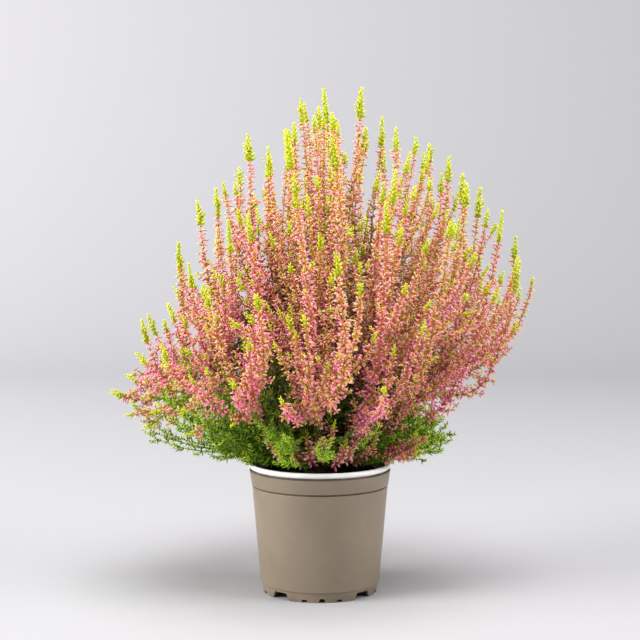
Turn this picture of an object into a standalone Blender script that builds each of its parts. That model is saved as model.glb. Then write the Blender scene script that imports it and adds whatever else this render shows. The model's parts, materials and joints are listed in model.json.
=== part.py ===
"""Potted heather: a bushy flowering heather in a round plastic nursery pot.

Metres, +Z up. The origin is on the pot's axis at the level that the pot stands on, and the
plant's best side faces -Y. Every stem follows one rule of growth: a stem has a place on a
disc, seen from above, and as it grows from 0 to 1 it rises and spreads out to that place.
"""

import math
import random
from dataclasses import dataclass

import bmesh
import bpy
from mathutils import Matrix, Vector, noise

SEED = 27
TOUCH = 0.0003  # gap between pieces that touch
WELD = 0.000004  # corners nearer than this are one
TURN_STEPS = 36  # sides of the pot
SHARP_ANGLE = math.radians(30.0)  # of an edge that is left sharp on a round piece
ROLL_STEPS = 4  # faces across the rolled rim
FILL_STEPS = 18  # sides of the compost, whose corners face every second corner of the pot

# Pot, outside: height of each ring and its radius
POT_HEIGHT = 0.1105
RIM_ROLL = 0.0021  # radius of the rolled rim's own section
ROLL_OPENING = math.radians(42.0)  # how far below level the roll ends on both sides
RIM_RADIUS = 0.0605  # to the outside of the roll
NECK_HEIGHT = 0.1056
NECK_RADIUS = 0.0588
COLLAR_TOP = 0.1046
COLLAR_RADIUS = 0.0600
COLLAR_LOW = 0.0922
COLLAR_LOW_RADIUS = 0.0582
GROOVE_HEIGHT = 0.0914
GROOVE_RADIUS = 0.0573
BODY_TOP = 0.0906
BODY_TOP_RADIUS = 0.0577
BODY_LOW = 0.0086
BODY_LOW_RADIUS = 0.0508
FOOT_TOP = 0.0077
FOOT_TOP_RADIUS = 0.0494
FOOT_RADIUS = 0.0483
FOOT_THICKNESS = 0.0022
WALL = 0.0012

# Notches under the foot: widths at the floor and at their top, height
FOOT_TURN = math.radians(2.0)
FOOT_COUNT = 4
WIDE_NOTCH = (0.0190, 0.0130, 0.0062)
MIDDLE_NOTCH = (0.0062, 0.0034, 0.0034)
SIDE_NOTCH = (0.0056, 0.0040, 0.0024)
SIDE_NOTCH_TURN = math.radians(17.5)
NOTCH_LENGTH = 0.012  # of each cutter, across the foot ring
NOTCH_OVERSHOOT = 0.4  # of its height, below the floor
DRAIN_COUNT = 6
DRAIN_SIDES = 8
DRAIN_RADIUS = 0.0036
DRAIN_CIRCLE = 0.0340
DRAIN_DEPTH = 0.0048

# Compost
FILL_HEIGHT = 0.1035
FILL_DOME = 0.0030
FILL_RELIEF = 0.0012
FILL_PITCH = 120.0  # bumps of the relief, for each metre
FILL_RINGS = 4
FILL_MARGIN = 0.0001  # how near the hole and the wall the relief starts
TRUNK_RADIUS = 0.0050
TRUNK_DEPTH = 0.0280
TRUNK_CLEARANCE = 0.0004
TRUNK_RISE = 0.006  # of the trunk's head above the compost
LIMB_RISE = 0.002  # of the roots of the limbs above the compost
TRUNK_TAPER = 0.84
TRUNK_BEND = 0.6  # share of its height
LIMB_RADIUS = 0.0030
LIMB_END_RADIUS = 0.0016
LIMB_ROOT = 0.05  # share of a limb's reach at which it leaves the trunk
LIMB_BEND = 0.55
LIMB_STRAIGHT = 0.8  # share of its growth from which it runs straight on

# Rule of growth: handles of a smooth curve from growth 0 to 1
SPREAD = (0.013, 0.112, 0.166, 0.184)  # distance from the axis, for a place at 1
HEIGHT_AXIS = (0.110, 0.200, 0.305, 0.442)  # height of a place on the axis
HEIGHT_EDGE = (0.110, 0.134, 0.112, 0.312)  # height of a place at 1
SWAY = 0.020  # how far stems wander from their line
SWAY_PITCH = 2.5
LEAN = Vector((-0.013, 0.0048, 0.0))  # shift of the tips that keeps the spread centred
SWAY_SHIFTS = (Vector((0.0, 0.0, 5.0)), Vector((7.0, 3.0, 1.0)), Vector((2.0, 9.0, 4.0)))
DROOP = 0.075  # how far the lowest shoot hangs below the others
DROOP_TURN = math.pi  # the side it hangs on
DROOP_WIDTH = 0.26
LEFT_SHORTFALL = 0.20  # how much less the -X side has grown
UNEVEN = 0.07
RIGHT_EVENNESS = 0.8  # how much less uneven the +X side is

# Layout of the stems
GOLDEN_ANGLE = math.pi * (3.0 - math.sqrt(5.0))
LIMB_COUNT = 8
LIMB_PLACE = 0.66
LIMB_TURN = 0.3
SPRAY_TURN = 1.1
SPRAY_COUNT = 24
SHOOT_COUNT = 62
REACH = 1.03
TWIG_PLACE = 0.45  # twigs grow only on stems farther out than this
TUFT_PLACE = 1.02  # low tufts lean out over the rim
TUFT_TURNS = (-0.21, 0.21)
TUFT_END = (0.20, 0.25)
SIDE_SHORTFALL = 0.02  # how much less a side shoot grows than a leading one
TWIG_STOP = 0.02  # how far below the first florets a twig ends

# Growth at which things happen along a stem
LIMB_END = 0.075  # bare wood ends and leaves begin
LIMB_FORK = 0.095  # the leading shoots of a limb part
STEM_SETTLED = 0.30  # they are on their own lines
TWIG_FORK = (0.13, 0.17)
TWIG_SETTLE = 0.15
TUFT_FORK = 0.105
TUFT_SETTLE = 0.10
FLOWER_START = 0.24
FLOWER_START_EDGE = 0.17
FLOWER_START_LEFT = 0.05
SIDE_FORK = (0.02, 0.12)  # after the first florets
SIDE_SETTLE = 0.34
TIP_LENGTH = (0.018, 0.026)  # metres


@dataclass(frozen=True)
class Habit:
    """How a stem carries its leaves or florets: they stand crosswise in pairs."""

    spacing: float  # from one pair to the next
    core: float  # radius between them
    reach: float  # how far their points stand out
    lift: float  # how far their points lean towards the stem's tip


LEAFY = Habit(spacing=0.0100, core=0.0024, reach=0.0076, lift=0.0050)
FLOWERING = Habit(spacing=0.0106, core=0.0026, reach=0.0084, lift=0.0040)
FRESH = Habit(spacing=0.0050, core=0.0016, reach=0.0042, lift=0.0034)
TOOTH_LUCK = (0.86, 1.08)
STEM_RADIUS = 0.0013  # where two pieces of one stem meet
TIP_RADIUS = 0.0010  # where a flowering stem meets its fresh tip
ROOT_SHARE = 0.65  # of its core, where a side shoot leaves its stem
SWELL = (0.55, 2.2)  # fullness at a stem's root, and how fast it grows
THINNING = (0.35, 0.5)  # share at which a stem starts to thin, and how fast


def clear_scene():
    """Empties the scene without closing the file."""
    for thing in list(bpy.data.objects):
        bpy.data.objects.remove(thing, do_unlink=True)
    for group in list(bpy.data.collections):
        bpy.data.collections.remove(group)


def new_collection(name):
    """A new collection, linked under the scene."""
    group = bpy.data.collections.new(name)
    bpy.context.scene.collection.children.link(group)
    return group


def new_material(name, colour, roughness):
    """A plain Principled material."""
    material = bpy.data.materials.new(name)
    material.use_nodes = True
    shader = material.node_tree.nodes["Principled BSDF"]
    shader.inputs["Base Color"].default_value = (*colour, 1.0)
    shader.inputs["Roughness"].default_value = roughness
    shader.inputs["Metallic"].default_value = 0.0
    material.diffuse_color = (*colour, 1.0)
    return material


def new_object(name, mesh, group, material=None):
    """An object for the mesh, in a collection and with a material."""
    thing = bpy.data.objects.new(name, mesh)
    group.objects.link(thing)
    if material is not None:
        mesh.materials.clear()
        mesh.materials.append(material)
    return thing


def mesh_from(builder, name):
    """Turns a bmesh into a mesh and frees it."""
    mesh = bpy.data.meshes.new(name)
    builder.to_mesh(mesh)
    builder.free()
    return mesh


def evaluated_mesh(thing, name, seams=False):
    """The object's mesh as the viewport shows it, in triangles and without slivers.

    seams welds corners that lie together, as the caps of a curve need.
    """
    graph = bpy.context.evaluated_depsgraph_get()
    mesh = bpy.data.meshes.new_from_object(thing.evaluated_get(graph))
    mesh.name = name
    builder = bmesh.new()
    builder.from_mesh(mesh)
    if seams:
        bmesh.ops.remove_doubles(builder, verts=builder.verts, dist=WELD)
    bmesh.ops.triangulate(builder, faces=builder.faces)
    bmesh.ops.dissolve_degenerate(builder, edges=builder.edges, dist=WELD)
    builder.to_mesh(mesh)
    builder.free()
    return mesh


def turned(name, profile, steps, group, material):
    """A closed solid turned about Z from a profile whose ends lie on the axis."""
    mesh = bpy.data.meshes.new(name)
    points = [(radius, 0.0, height) for radius, height in profile]
    edges = [(i, i + 1) for i in range(len(points) - 1)]
    mesh.from_pydata(points, edges, [])
    thing = new_object(name, mesh, group, material)
    screw = thing.modifiers.new("turn", "SCREW")
    screw.steps = steps
    screw.render_steps = steps
    screw.use_merge_vertices = True
    screw.merge_threshold = WELD
    screw.use_smooth_shade = False
    return thing


def smooth_round(mesh):
    """Shades a round piece smooth between its sharp edges."""
    mesh.shade_smooth()
    mesh.set_sharp_from_angle(angle=SHARP_ANGLE)


def wall_radius(height):
    """Inside radius of the pot's body at a height."""
    share = (height - BODY_LOW) / (BODY_TOP - BODY_LOW)
    return BODY_LOW_RADIUS + (BODY_TOP_RADIUS - BODY_LOW_RADIUS) * share - WALL


def collar_radius(height):
    """Inside radius of the pot's collar at a height."""
    share = (height - COLLAR_LOW) / (COLLAR_TOP - COLLAR_LOW)
    return COLLAR_LOW_RADIUS + (COLLAR_RADIUS - COLLAR_LOW_RADIUS) * share - WALL


def rolled_rim():
    """Section of the rolled rim, from its inner low side over the top to its outer low side."""
    centre_radius = RIM_RADIUS - RIM_ROLL
    centre_height = POT_HEIGHT - RIM_ROLL
    for step in range(ROLL_STEPS + 1):
        share = step / ROLL_STEPS
        angle = math.pi + ROLL_OPENING - (math.pi + 2.0 * ROLL_OPENING) * share
        yield (
            centre_radius + RIM_ROLL * math.cos(angle),
            centre_height + RIM_ROLL * math.sin(angle),
        )


def notch(angle, widths, group):
    """Cutter for one notch through the foot ring: a box that narrows upwards."""
    low_width, top_width, height = widths
    below = height * NOTCH_OVERSHOOT
    low_width += (low_width - top_width) * below / height
    builder = bmesh.new()
    bmesh.ops.create_cone(
        builder,
        cap_ends=True,
        segments=4,
        radius1=low_width / math.sqrt(2.0),
        radius2=top_width / math.sqrt(2.0),
        depth=height + below,
        matrix=Matrix.Rotation(math.pi / 4.0, 4, "Z"),
    )
    stretch = (1.0, NOTCH_LENGTH / top_width, 1.0)
    bmesh.ops.scale(builder, verts=builder.verts, vec=stretch)
    cutter = new_object("notch", mesh_from(builder, "notch"), group)
    radius = FOOT_RADIUS - FOOT_THICKNESS / 2.0
    cutter.location = (radius * math.sin(angle), -radius * math.cos(angle), (height - below) / 2.0)
    cutter.rotation_euler = (0.0, 0.0, angle)
    return cutter


def drain_hole(angle, group):
    """Cutter for one drain hole through the pot's floor."""
    builder = bmesh.new()
    bmesh.ops.create_cone(
        builder,
        cap_ends=True,
        segments=DRAIN_SIDES,
        radius1=DRAIN_RADIUS,
        radius2=DRAIN_RADIUS,
        depth=DRAIN_DEPTH,
    )
    cutter = new_object("drain", mesh_from(builder, "drain"), group)
    cutter.location = (
        DRAIN_CIRCLE * math.cos(angle),
        DRAIN_CIRCLE * math.sin(angle),
        FOOT_TOP,
    )
    return cutter


def build_pot(parts, cutters, material):
    """Thin plastic pot with a rolled rim, a stepped collar, a notched foot and drain holes."""
    floor_top = FOOT_TOP + WALL
    inner_neck = COLLAR_TOP - WALL
    profile = [
        (0.0, floor_top),
        (wall_radius(floor_top), floor_top),
        (wall_radius(BODY_TOP), BODY_TOP),
        (collar_radius(COLLAR_LOW), COLLAR_LOW),
        (collar_radius(inner_neck), inner_neck),
        (NECK_RADIUS - WALL, NECK_HEIGHT - WALL / 2.0),
        *rolled_rim(),
        (NECK_RADIUS, NECK_HEIGHT),
        (COLLAR_RADIUS - WALL / 2.0, COLLAR_TOP + WALL / 2.0),
        (COLLAR_RADIUS, COLLAR_TOP),
        (COLLAR_LOW_RADIUS, COLLAR_LOW),
        (GROOVE_RADIUS, GROOVE_HEIGHT),
        (BODY_TOP_RADIUS, BODY_TOP),
        (BODY_LOW_RADIUS, BODY_LOW),
        (FOOT_TOP_RADIUS, FOOT_TOP),
        (FOOT_RADIUS, 0.0),
        (FOOT_RADIUS - FOOT_THICKNESS, 0.0),
        (FOOT_TOP_RADIUS - FOOT_THICKNESS, FOOT_TOP),
        (0.0, FOOT_TOP),
    ]
    pot = turned("pot", profile, TURN_STEPS, parts, material)
    for foot in range(FOOT_COUNT):
        middle = FOOT_TURN + 2.0 * math.pi * foot / FOOT_COUNT
        notch(middle, MIDDLE_NOTCH, cutters)
        notch(middle - SIDE_NOTCH_TURN, SIDE_NOTCH, cutters)
        notch(middle + SIDE_NOTCH_TURN, SIDE_NOTCH, cutters)
        notch(middle + math.pi / FOOT_COUNT, WIDE_NOTCH, cutters)
    for hole in range(DRAIN_COUNT):
        drain_hole(2.0 * math.pi * hole / DRAIN_COUNT, cutters)
    for cutter in cutters.objects:
        cutter.display_type = "WIRE"
        cutter.hide_render = True
    cut = pot.modifiers.new("notches and holes", "BOOLEAN")
    cut.operation = "DIFFERENCE"
    cut.operand_type = "COLLECTION"
    cut.collection = cutters
    weld = pot.modifiers.new("weld", "WELD")
    weld.merge_threshold = WELD
    graph = bpy.context.evaluated_depsgraph_get()
    mesh = bpy.data.meshes.new_from_object(pot.evaluated_get(graph))
    pot.modifiers.clear()
    pot.data = mesh
    smooth_round(mesh)
    return pot


def build_compost(parts, material):
    """Peat that fills the pot, slightly domed and uneven, with a plain hole for the trunk."""
    floor_top = FOOT_TOP + WALL
    hole = TRUNK_RADIUS + TRUNK_CLEARANCE
    edge = collar_radius(FILL_HEIGHT - FILL_DOME) - TOUCH
    dome = []
    for ring in range(FILL_RINGS + 1):
        share = ring / FILL_RINGS
        dome.append((hole + (edge - hole) * share, FILL_HEIGHT - FILL_DOME * share**2))
    profile = [
        (0.0, FILL_HEIGHT - TRUNK_DEPTH),
        (hole, FILL_HEIGHT - TRUNK_DEPTH),
        *dome,
        (collar_radius(COLLAR_LOW) - TOUCH, COLLAR_LOW),
        (wall_radius(BODY_TOP) - TOUCH, BODY_TOP),
        (wall_radius(floor_top) - TOUCH, floor_top + TOUCH),
        (0.0, floor_top + TOUCH),
    ]
    turned_fill = turned("compost", profile, FILL_STEPS, parts, material)
    mesh = evaluated_mesh(turned_fill, "compost")
    bpy.data.objects.remove(turned_fill, do_unlink=True)
    low, inner = FILL_HEIGHT - FILL_DOME + FILL_MARGIN, hole + FILL_MARGIN
    for vertex in mesh.vertices:
        spot = vertex.co
        if spot.z > low and math.hypot(spot.x, spot.y) > inner:
            spot.z += FILL_RELIEF * noise.noise(spot * FILL_PITCH)
    smooth_round(mesh)
    return new_object("compost", mesh, parts, material)


def cubic(t, handles):
    """Value at t of a smooth curve with four handles."""
    a, b, c, d = handles
    s = 1.0 - t
    return a * s**3 + 3.0 * b * s**2 * t + 3.0 * c * s * t**2 + d * t**3


def sunflower(count, turn):
    """Places spread evenly over a disc of radius REACH, as seeds in a sunflower's head."""
    places = []
    for i in range(count):
        distance = REACH * math.sqrt((i + 0.5) / count)
        angle = turn + i * GOLDEN_ANGLE
        places.append(Vector((distance * math.cos(angle), distance * math.sin(angle))))
    return places


def nearest(place, others):
    """Index of the place in others that is nearest to place."""
    return min(range(len(others)), key=lambda i: (others[i] - place).length)


def flow(place, t):
    """Point that a stem at a place has reached at growth t."""
    rho = place.length
    height_axis, height_edge = cubic(t, HEIGHT_AXIS), cubic(t, HEIGHT_EDGE)
    height = height_axis + (height_edge - height_axis) * rho**2
    off = math.remainder(math.atan2(place.y, place.x) - DROOP_TURN, 2.0 * math.pi)
    height -= DROOP * rho**4 * t**2.5 * math.exp(-((off / DROOP_WIDTH) ** 2))
    spread = cubic(t, SPREAD)
    point = Vector((place.x * spread, place.y * spread, height))
    spot = Vector((place.x, place.y, t)) * SWAY_PITCH
    wander = Vector(noise.noise(spot + shift) for shift in SWAY_SHIFTS)
    return point + wander * SWAY * t + LEAN * t


def full_growth(place, luck):
    """How far a shoot at a place has grown."""
    uneven = UNEVEN * (1.0 - RIGHT_EVENNESS * min(max(0.0, place.x), 1.0))
    return 1.0 - LEFT_SHORTFALL * math.sqrt(max(0.0, -place.x)) - uneven * luck


def flowers_from(place):
    """Growth at which a stem at a place turns from leaves to florets."""
    return FLOWER_START + FLOWER_START_EDGE * place.length + FLOWER_START_LEFT * max(0.0, -place.x)


class Stem:
    """A stem that leaves one line of growth at fork and is on its own line by settled."""

    def __init__(self, start, end, fork, settled):
        self.start = start
        self.end = end
        self.fork = fork
        self.settled = settled

    def place(self, t):
        """Place on the disc at growth t."""
        share = min(max((t - self.fork) / (self.settled - self.fork), 0.0), 1.0)
        return self.start.lerp(self.end, 1.0 - (1.0 - share) ** 2)

    def way(self, first, last, steps=48):
        """Points along the stem between two growths, close together."""
        points = []
        for step in range(steps + 1):
            t = first + (last - first) * step / steps
            points.append(flow(self.place(t), t))
        return points


def length_of(points):
    """Length of a line of points."""
    return sum((b - a).length for a, b in zip(points, points[1:]))


def cut_line(points, first, last):
    """The part of a line of points between two distances along it."""
    kept = []
    gone = 0.0
    for a, b in zip(points, points[1:]):
        step = (b - a).length
        for mark in (first, last):
            if gone <= mark <= gone + step and step > 0.0:
                kept.append((mark, a.lerp(b, (mark - gone) / step)))
        gone += step
        if first < gone < last:
            kept.append((gone, b))
    kept.sort(key=lambda pair: pair[0])
    return [point for _, point in kept]


def even_line(points, spacing):
    """The same line with points an equal distance apart, near to spacing."""
    total = length_of(points)
    count = max(2, round(total / spacing))
    marks = [total * i / count for i in range(count + 1)]
    line = [points[0].copy()]
    gone = 0.0
    i = 0
    for mark in marks[1:-1]:
        while gone + (points[i + 1] - points[i]).length < mark:
            gone += (points[i + 1] - points[i]).length
            i += 1
        step = (points[i + 1] - points[i]).length
        line.append(points[i].lerp(points[i + 1], (mark - gone) / step))
    line.append(points[-1].copy())
    return line


def sections(points, first, last):
    """Each point with the stem's direction there and two side directions, untwisted.

    first and last are the directions at the two ends.
    """
    side = None
    for i, here in enumerate(points):
        if i == 0:
            along = first.normalized()
        elif i == len(points) - 1:
            along = last.normalized()
        else:
            along = (points[i + 1] - points[i - 1]).normalized()
        side = side or along.orthogonal()
        side = (side - along * side.dot(along)).normalized()
        yield here, along, side, along.cross(side)


def fullness(share):
    """How full a stem is at a share of its length: it swells soon and thins towards its tip."""
    start, growth = SWELL
    first, loss = THINNING
    return min(start + growth * share, 1.0 - loss * max(0.0, share - first))


def toothed_stem(points, habit, luck, base=STEM_RADIUS, end=0.0):
    """Mesh of a stem with a pair of pointed leaves or florets on each ring, set crosswise.

    Each ring has four corners. Every second corner is a point that stands out and leans
    forward, and on the next ring the other two do. The ends are plain rings, and an end
    of 0 is a single tip.
    """
    line = even_line(points, habit.spacing)
    turn = luck.uniform(0.0, math.pi / 2.0)
    last = len(line) - 1
    builder = bmesh.new()
    rings = []
    ends = (points[1] - points[0], points[-1] - points[-2])
    for k, (here, along, side, across) in enumerate(sections(line, *ends)):
        plain = base if k == 0 else end
        if k == last and end == 0.0:
            rings.append([builder.verts.new(here)] * 4)
            continue
        swell = fullness((k + 0.5) / last)
        corners = []
        for j in range(4):
            angle = turn + j * math.pi / 2.0
            outward = side * math.cos(angle) + across * math.sin(angle)
            if k in (0, last):
                corner = here + outward * plain
            elif (j + k) % 2 == 0:
                size = swell * luck.uniform(*TOOTH_LUCK)
                corner = here + outward * habit.reach * size + along * habit.lift * size
            else:
                corner = here + outward * habit.core
            corners.append(builder.verts.new(corner))
        rings.append(corners)
    for k in range(last):
        for j in range(4):
            low, high = rings[k], rings[k + 1]
            i = (j + 1) % 4
            if (j + k) % 2 == 0:
                faces = ((low[j], low[i], high[j]), (low[i], high[i], high[j]))
            else:
                faces = ((low[j], low[i], high[i]), (low[j], high[i], high[j]))
            for face in faces:
                if len(set(face)) == 3:
                    builder.faces.new(face)
    builder.faces.new(reversed(rings[0]))
    if end > 0.0:
        builder.faces.new(rings[last])
    bmesh.ops.recalc_face_normals(builder, faces=builder.faces)
    return mesh_from(builder, "stem")


def keep_outer_shell(mesh):
    """Fills the pockets that crossing stems shut in: only the largest shell stays."""
    builder = bmesh.new()
    builder.from_mesh(mesh)
    loose = set(builder.verts)
    shells = []
    while loose:
        shell = set()
        front = [loose.pop()]
        while front:
            corner = front.pop()
            shell.add(corner)
            reached = {edge.other_vert(corner) for edge in corner.link_edges} & loose
            loose -= reached
            front.extend(reached)
        shells.append(shell)
    shells.sort(key=len)
    for shell in shells[:-1]:
        bmesh.ops.delete(builder, geom=list(shell), context="VERTS")
    builder.to_mesh(mesh)
    builder.free()


def fuse(name, meshes, parts, material):
    """One object for a node: its stems joined into a single closed body."""
    stems = new_collection("stems of " + name)
    first, *others = meshes
    body = new_object("first stem", first, parts)
    for mesh in others:
        new_object("stem", mesh, stems)
    if others:
        union = body.modifiers.new("one body", "BOOLEAN")
        union.operation = "UNION"
        union.operand_type = "COLLECTION"
        union.collection = stems
    mesh = evaluated_mesh(body, name)
    keep_outer_shell(mesh)
    for thing in [body, *stems.objects]:
        bpy.data.objects.remove(thing, do_unlink=True)
    bpy.data.collections.remove(stems)
    return new_object(name, mesh, parts, material)


def limb_mesh(points, first_radius, last_radius):
    """Mesh of a bare tapering limb along the points."""
    curve = bpy.data.curves.new("limb", "CURVE")
    curve.dimensions = "3D"
    curve.bevel_depth = 1.0
    curve.bevel_resolution = 1
    curve.use_fill_caps = True
    spline = curve.splines.new("POLY")
    spline.points.add(len(points) - 1)
    for i, point in enumerate(points):
        share = i / (len(points) - 1)
        spline.points[i].co = (*point, 1.0)
        spline.points[i].radius = first_radius + (last_radius - first_radius) * share
    thing = bpy.data.objects.new("limb", curve)
    bpy.context.scene.collection.objects.link(thing)
    mesh = evaluated_mesh(thing, "limb", seams=True)
    bpy.data.objects.remove(thing, do_unlink=True)
    return mesh


def build_crown(limbs, parts, material):
    """Trunk that stands in the compost, with its bare limbs up to the first leaves."""
    foot = Vector((0.0, 0.0, FILL_HEIGHT - TRUNK_DEPTH + TOUCH))
    head = Vector((0.0, 0.0, FILL_HEIGHT + TRUNK_RISE))
    bend = foot.lerp(head, TRUNK_BEND)
    meshes = [limb_mesh([foot, bend, head], TRUNK_RADIUS, TRUNK_RADIUS * TRUNK_TAPER)]
    root_height = FILL_HEIGHT + LIMB_RISE
    for limb in limbs:
        seat = flow(limb, LIMB_END)
        before = flow(limb, LIMB_END * LIMB_STRAIGHT)
        root = Vector((seat.x * LIMB_ROOT, seat.y * LIMB_ROOT, root_height))
        bend_height = (root_height + seat.z) / 2.0
        bend = Vector((seat.x * LIMB_BEND, seat.y * LIMB_BEND, bend_height))
        meshes.append(limb_mesh([root, bend, before, seat], LIMB_RADIUS, LIMB_END_RADIUS))
    return fuse("woody_crown", meshes, parts, material)


class Plant:
    """The whole layout: limbs, leading shoots, side shoots and how far each has grown."""

    def __init__(self):
        self.luck = random.Random(SEED)
        self.limbs = [Vector((0.0, 0.0))]
        for i in range(LIMB_COUNT - 1):
            angle = 2.0 * math.pi * i / (LIMB_COUNT - 1) + LIMB_TURN
            self.limbs.append(Vector((math.cos(angle), math.sin(angle))) * LIMB_PLACE)
        places = sunflower(SHOOT_COUNT, 0.0)
        centres = sunflower(SPRAY_COUNT, SPRAY_TURN)
        cells = [[] for _ in centres]
        for place in places:
            cells[nearest(place, centres)].append(place)
        self.leaders = []
        self.sides = []
        for centre, cell in zip(centres, cells):
            leader = cell.pop(nearest(centre, cell))
            limb = self.limbs[nearest(leader, self.limbs)]
            self.leaders.append(Stem(limb, leader, LIMB_FORK, STEM_SETTLED))
            self.sides.append(cell)

    def leafy_meshes(self, limb):
        """Leafy stems of one limb, with the twigs that grow on them."""
        meshes = []
        for leader, sides in zip(self.leaders, self.sides):
            if leader.start is not limb:
                continue
            if meshes:
                line = leader.way(LIMB_FORK, flowers_from(leader.end))
                base = LEAFY.core * ROOT_SHARE
            else:
                line = leader.way(LIMB_END, flowers_from(leader.end))
                line = cut_line(line, TOUCH, length_of(line))
                base = STEM_RADIUS
            meshes.append(toothed_stem(line, LEAFY, self.luck, base=base, end=STEM_RADIUS))
            for place in sides:
                if place.length < TWIG_PLACE:
                    continue
                fork = self.luck.uniform(*TWIG_FORK)
                twig = Stem(leader.place(fork), place, fork, fork + TWIG_SETTLE)
                line = twig.way(fork, flowers_from(place) - TWIG_STOP)
                meshes.append(toothed_stem(line, LEAFY, self.luck, base=LEAFY.core * ROOT_SHARE))
        for turn in TUFT_TURNS if limb.length > 0.0 else ():
            place = limb.normalized() * TUFT_PLACE
            place.rotate(Matrix.Rotation(turn, 2))
            tuft = Stem(limb, place, TUFT_FORK, TUFT_FORK + TUFT_SETTLE)
            line = tuft.way(TUFT_FORK, self.luck.uniform(*TUFT_END))
            meshes.append(toothed_stem(line, LEAFY, self.luck, base=LEAFY.core * ROOT_SHARE))
        return meshes

    def flower_meshes(self, leader, sides):
        """Flowering part of a leading shoot and its side shoots, and the way of its tip."""
        first = flowers_from(leader.end)
        line = leader.way(first, full_growth(leader.end, self.luck.random()))
        top = length_of(line) - self.luck.uniform(*TIP_LENGTH)
        tip_line = cut_line(line, top + TOUCH, length_of(line))
        line = cut_line(line, TOUCH, top)
        meshes = [toothed_stem(line, FLOWERING, self.luck, end=TIP_RADIUS)]
        for place in sides:
            fork = first + self.luck.uniform(*SIDE_FORK)
            side = Stem(leader.place(fork), place, fork, fork + SIDE_SETTLE)
            grown = full_growth(place, self.luck.random()) - SIDE_SHORTFALL
            way = side.way(fork, grown)
            meshes.append(toothed_stem(way, FLOWERING, self.luck, base=FLOWERING.core * ROOT_SHARE))
        return meshes, tip_line


def build():
    """Models the whole potted plant."""
    clear_scene()
    parts = new_collection("potted heather")
    cutters = new_collection("cutters")
    plastic = new_material("taupe plastic", (0.30, 0.245, 0.185), 0.45)
    peat = new_material("moist peat", (0.022, 0.014, 0.009), 0.95)
    bark = new_material("bark", (0.10, 0.055, 0.030), 0.85)
    leaf = new_material("heather leaf", (0.085, 0.22, 0.020), 0.55)
    petal = new_material("heather floret", (0.62, 0.13, 0.24), 0.55)
    lime = new_material("fresh tip", (0.42, 0.55, 0.020), 0.50)

    build_pot(parts, cutters, plastic)
    build_compost(parts, peat)
    plant = Plant()
    build_crown(plant.limbs, parts, bark)
    for number, limb in enumerate(plant.limbs, start=1):
        fuse(f"leafy_branch_{number}", plant.leafy_meshes(limb), parts, leaf)
    for number, (leader, sides) in enumerate(zip(plant.leaders, plant.sides), start=1):
        meshes, tip_line = plant.flower_meshes(leader, sides)
        fuse(f"flower_spray_{number:02d}", meshes, parts, petal)
        tip = toothed_stem(tip_line, FRESH, plant.luck, base=TIP_RADIUS)
        new_object(f"shoot_tip_{number:02d}", tip, parts, lime)


build()
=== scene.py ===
"""Looks of the potted heather: fine florets, leaves, bark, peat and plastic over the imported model.

Metres, +Z up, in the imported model's own frame. Every fine stem follows the rule of growth that
the solids follow: it has a place on a disc, seen from above, and rises and spreads out to it.
"""

import json
import logging
import math
from dataclasses import dataclass, field
from enum import Enum, IntEnum

import bpy
import numpy as np
from mathutils import Matrix, Vector, kdtree, noise

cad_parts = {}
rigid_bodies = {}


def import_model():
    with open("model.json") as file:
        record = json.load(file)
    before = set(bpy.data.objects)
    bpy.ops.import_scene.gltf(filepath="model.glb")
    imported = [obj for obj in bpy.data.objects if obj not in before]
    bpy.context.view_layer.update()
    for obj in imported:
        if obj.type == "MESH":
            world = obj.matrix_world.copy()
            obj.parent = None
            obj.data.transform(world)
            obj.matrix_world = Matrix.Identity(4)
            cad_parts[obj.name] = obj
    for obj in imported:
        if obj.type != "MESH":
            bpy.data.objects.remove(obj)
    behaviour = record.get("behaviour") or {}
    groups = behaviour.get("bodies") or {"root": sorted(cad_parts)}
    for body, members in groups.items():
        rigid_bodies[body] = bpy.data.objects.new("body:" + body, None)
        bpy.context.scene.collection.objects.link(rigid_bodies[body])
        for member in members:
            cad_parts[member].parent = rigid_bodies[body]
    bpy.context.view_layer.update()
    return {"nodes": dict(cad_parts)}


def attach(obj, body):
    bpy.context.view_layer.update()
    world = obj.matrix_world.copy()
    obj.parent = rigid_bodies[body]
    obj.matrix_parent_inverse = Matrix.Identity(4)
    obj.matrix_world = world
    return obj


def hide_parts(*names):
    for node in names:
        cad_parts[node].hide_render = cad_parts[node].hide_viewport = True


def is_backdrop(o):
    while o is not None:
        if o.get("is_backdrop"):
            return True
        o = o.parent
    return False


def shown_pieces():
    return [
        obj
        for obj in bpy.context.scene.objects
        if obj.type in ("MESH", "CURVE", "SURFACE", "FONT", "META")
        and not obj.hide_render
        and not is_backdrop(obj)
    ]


logging.basicConfig(level=logging.INFO, format="%(message)s")
log = logging.getLogger("heather")

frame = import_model()

Pair = tuple[float, float]
Triple = tuple[float, float, float]
Socket = bpy.types.NodeSocket
Outputs = bpy.types.bpy_prop_collection
Luck = np.random.Generator
Array = np.ndarray
Handles = tuple[float, float, float, float]

GOLDEN_ANGLE = math.pi * (3.0 - math.sqrt(5.0))


class Slot(Enum):
    """The record's material slots."""

    POT = "pot_plastic"
    PEAT = "compost"
    BARK = "bark"
    LEAF = "leaf"
    FLORET = "floret"
    TIP = "fresh_tip"


class Trait(Enum):
    """What each corner of a plant piece knows about itself, from 0 to 1."""

    ALONG = "along"  # from the root of its leaf or floret to its point
    AGE = "age"  # from the lowest to the highest part of its stem
    TONE = "tone"  # luck of its own
    DEEP = "deep"  # from the plant's outside to its heart, which sets its painted shade


# Materials


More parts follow.
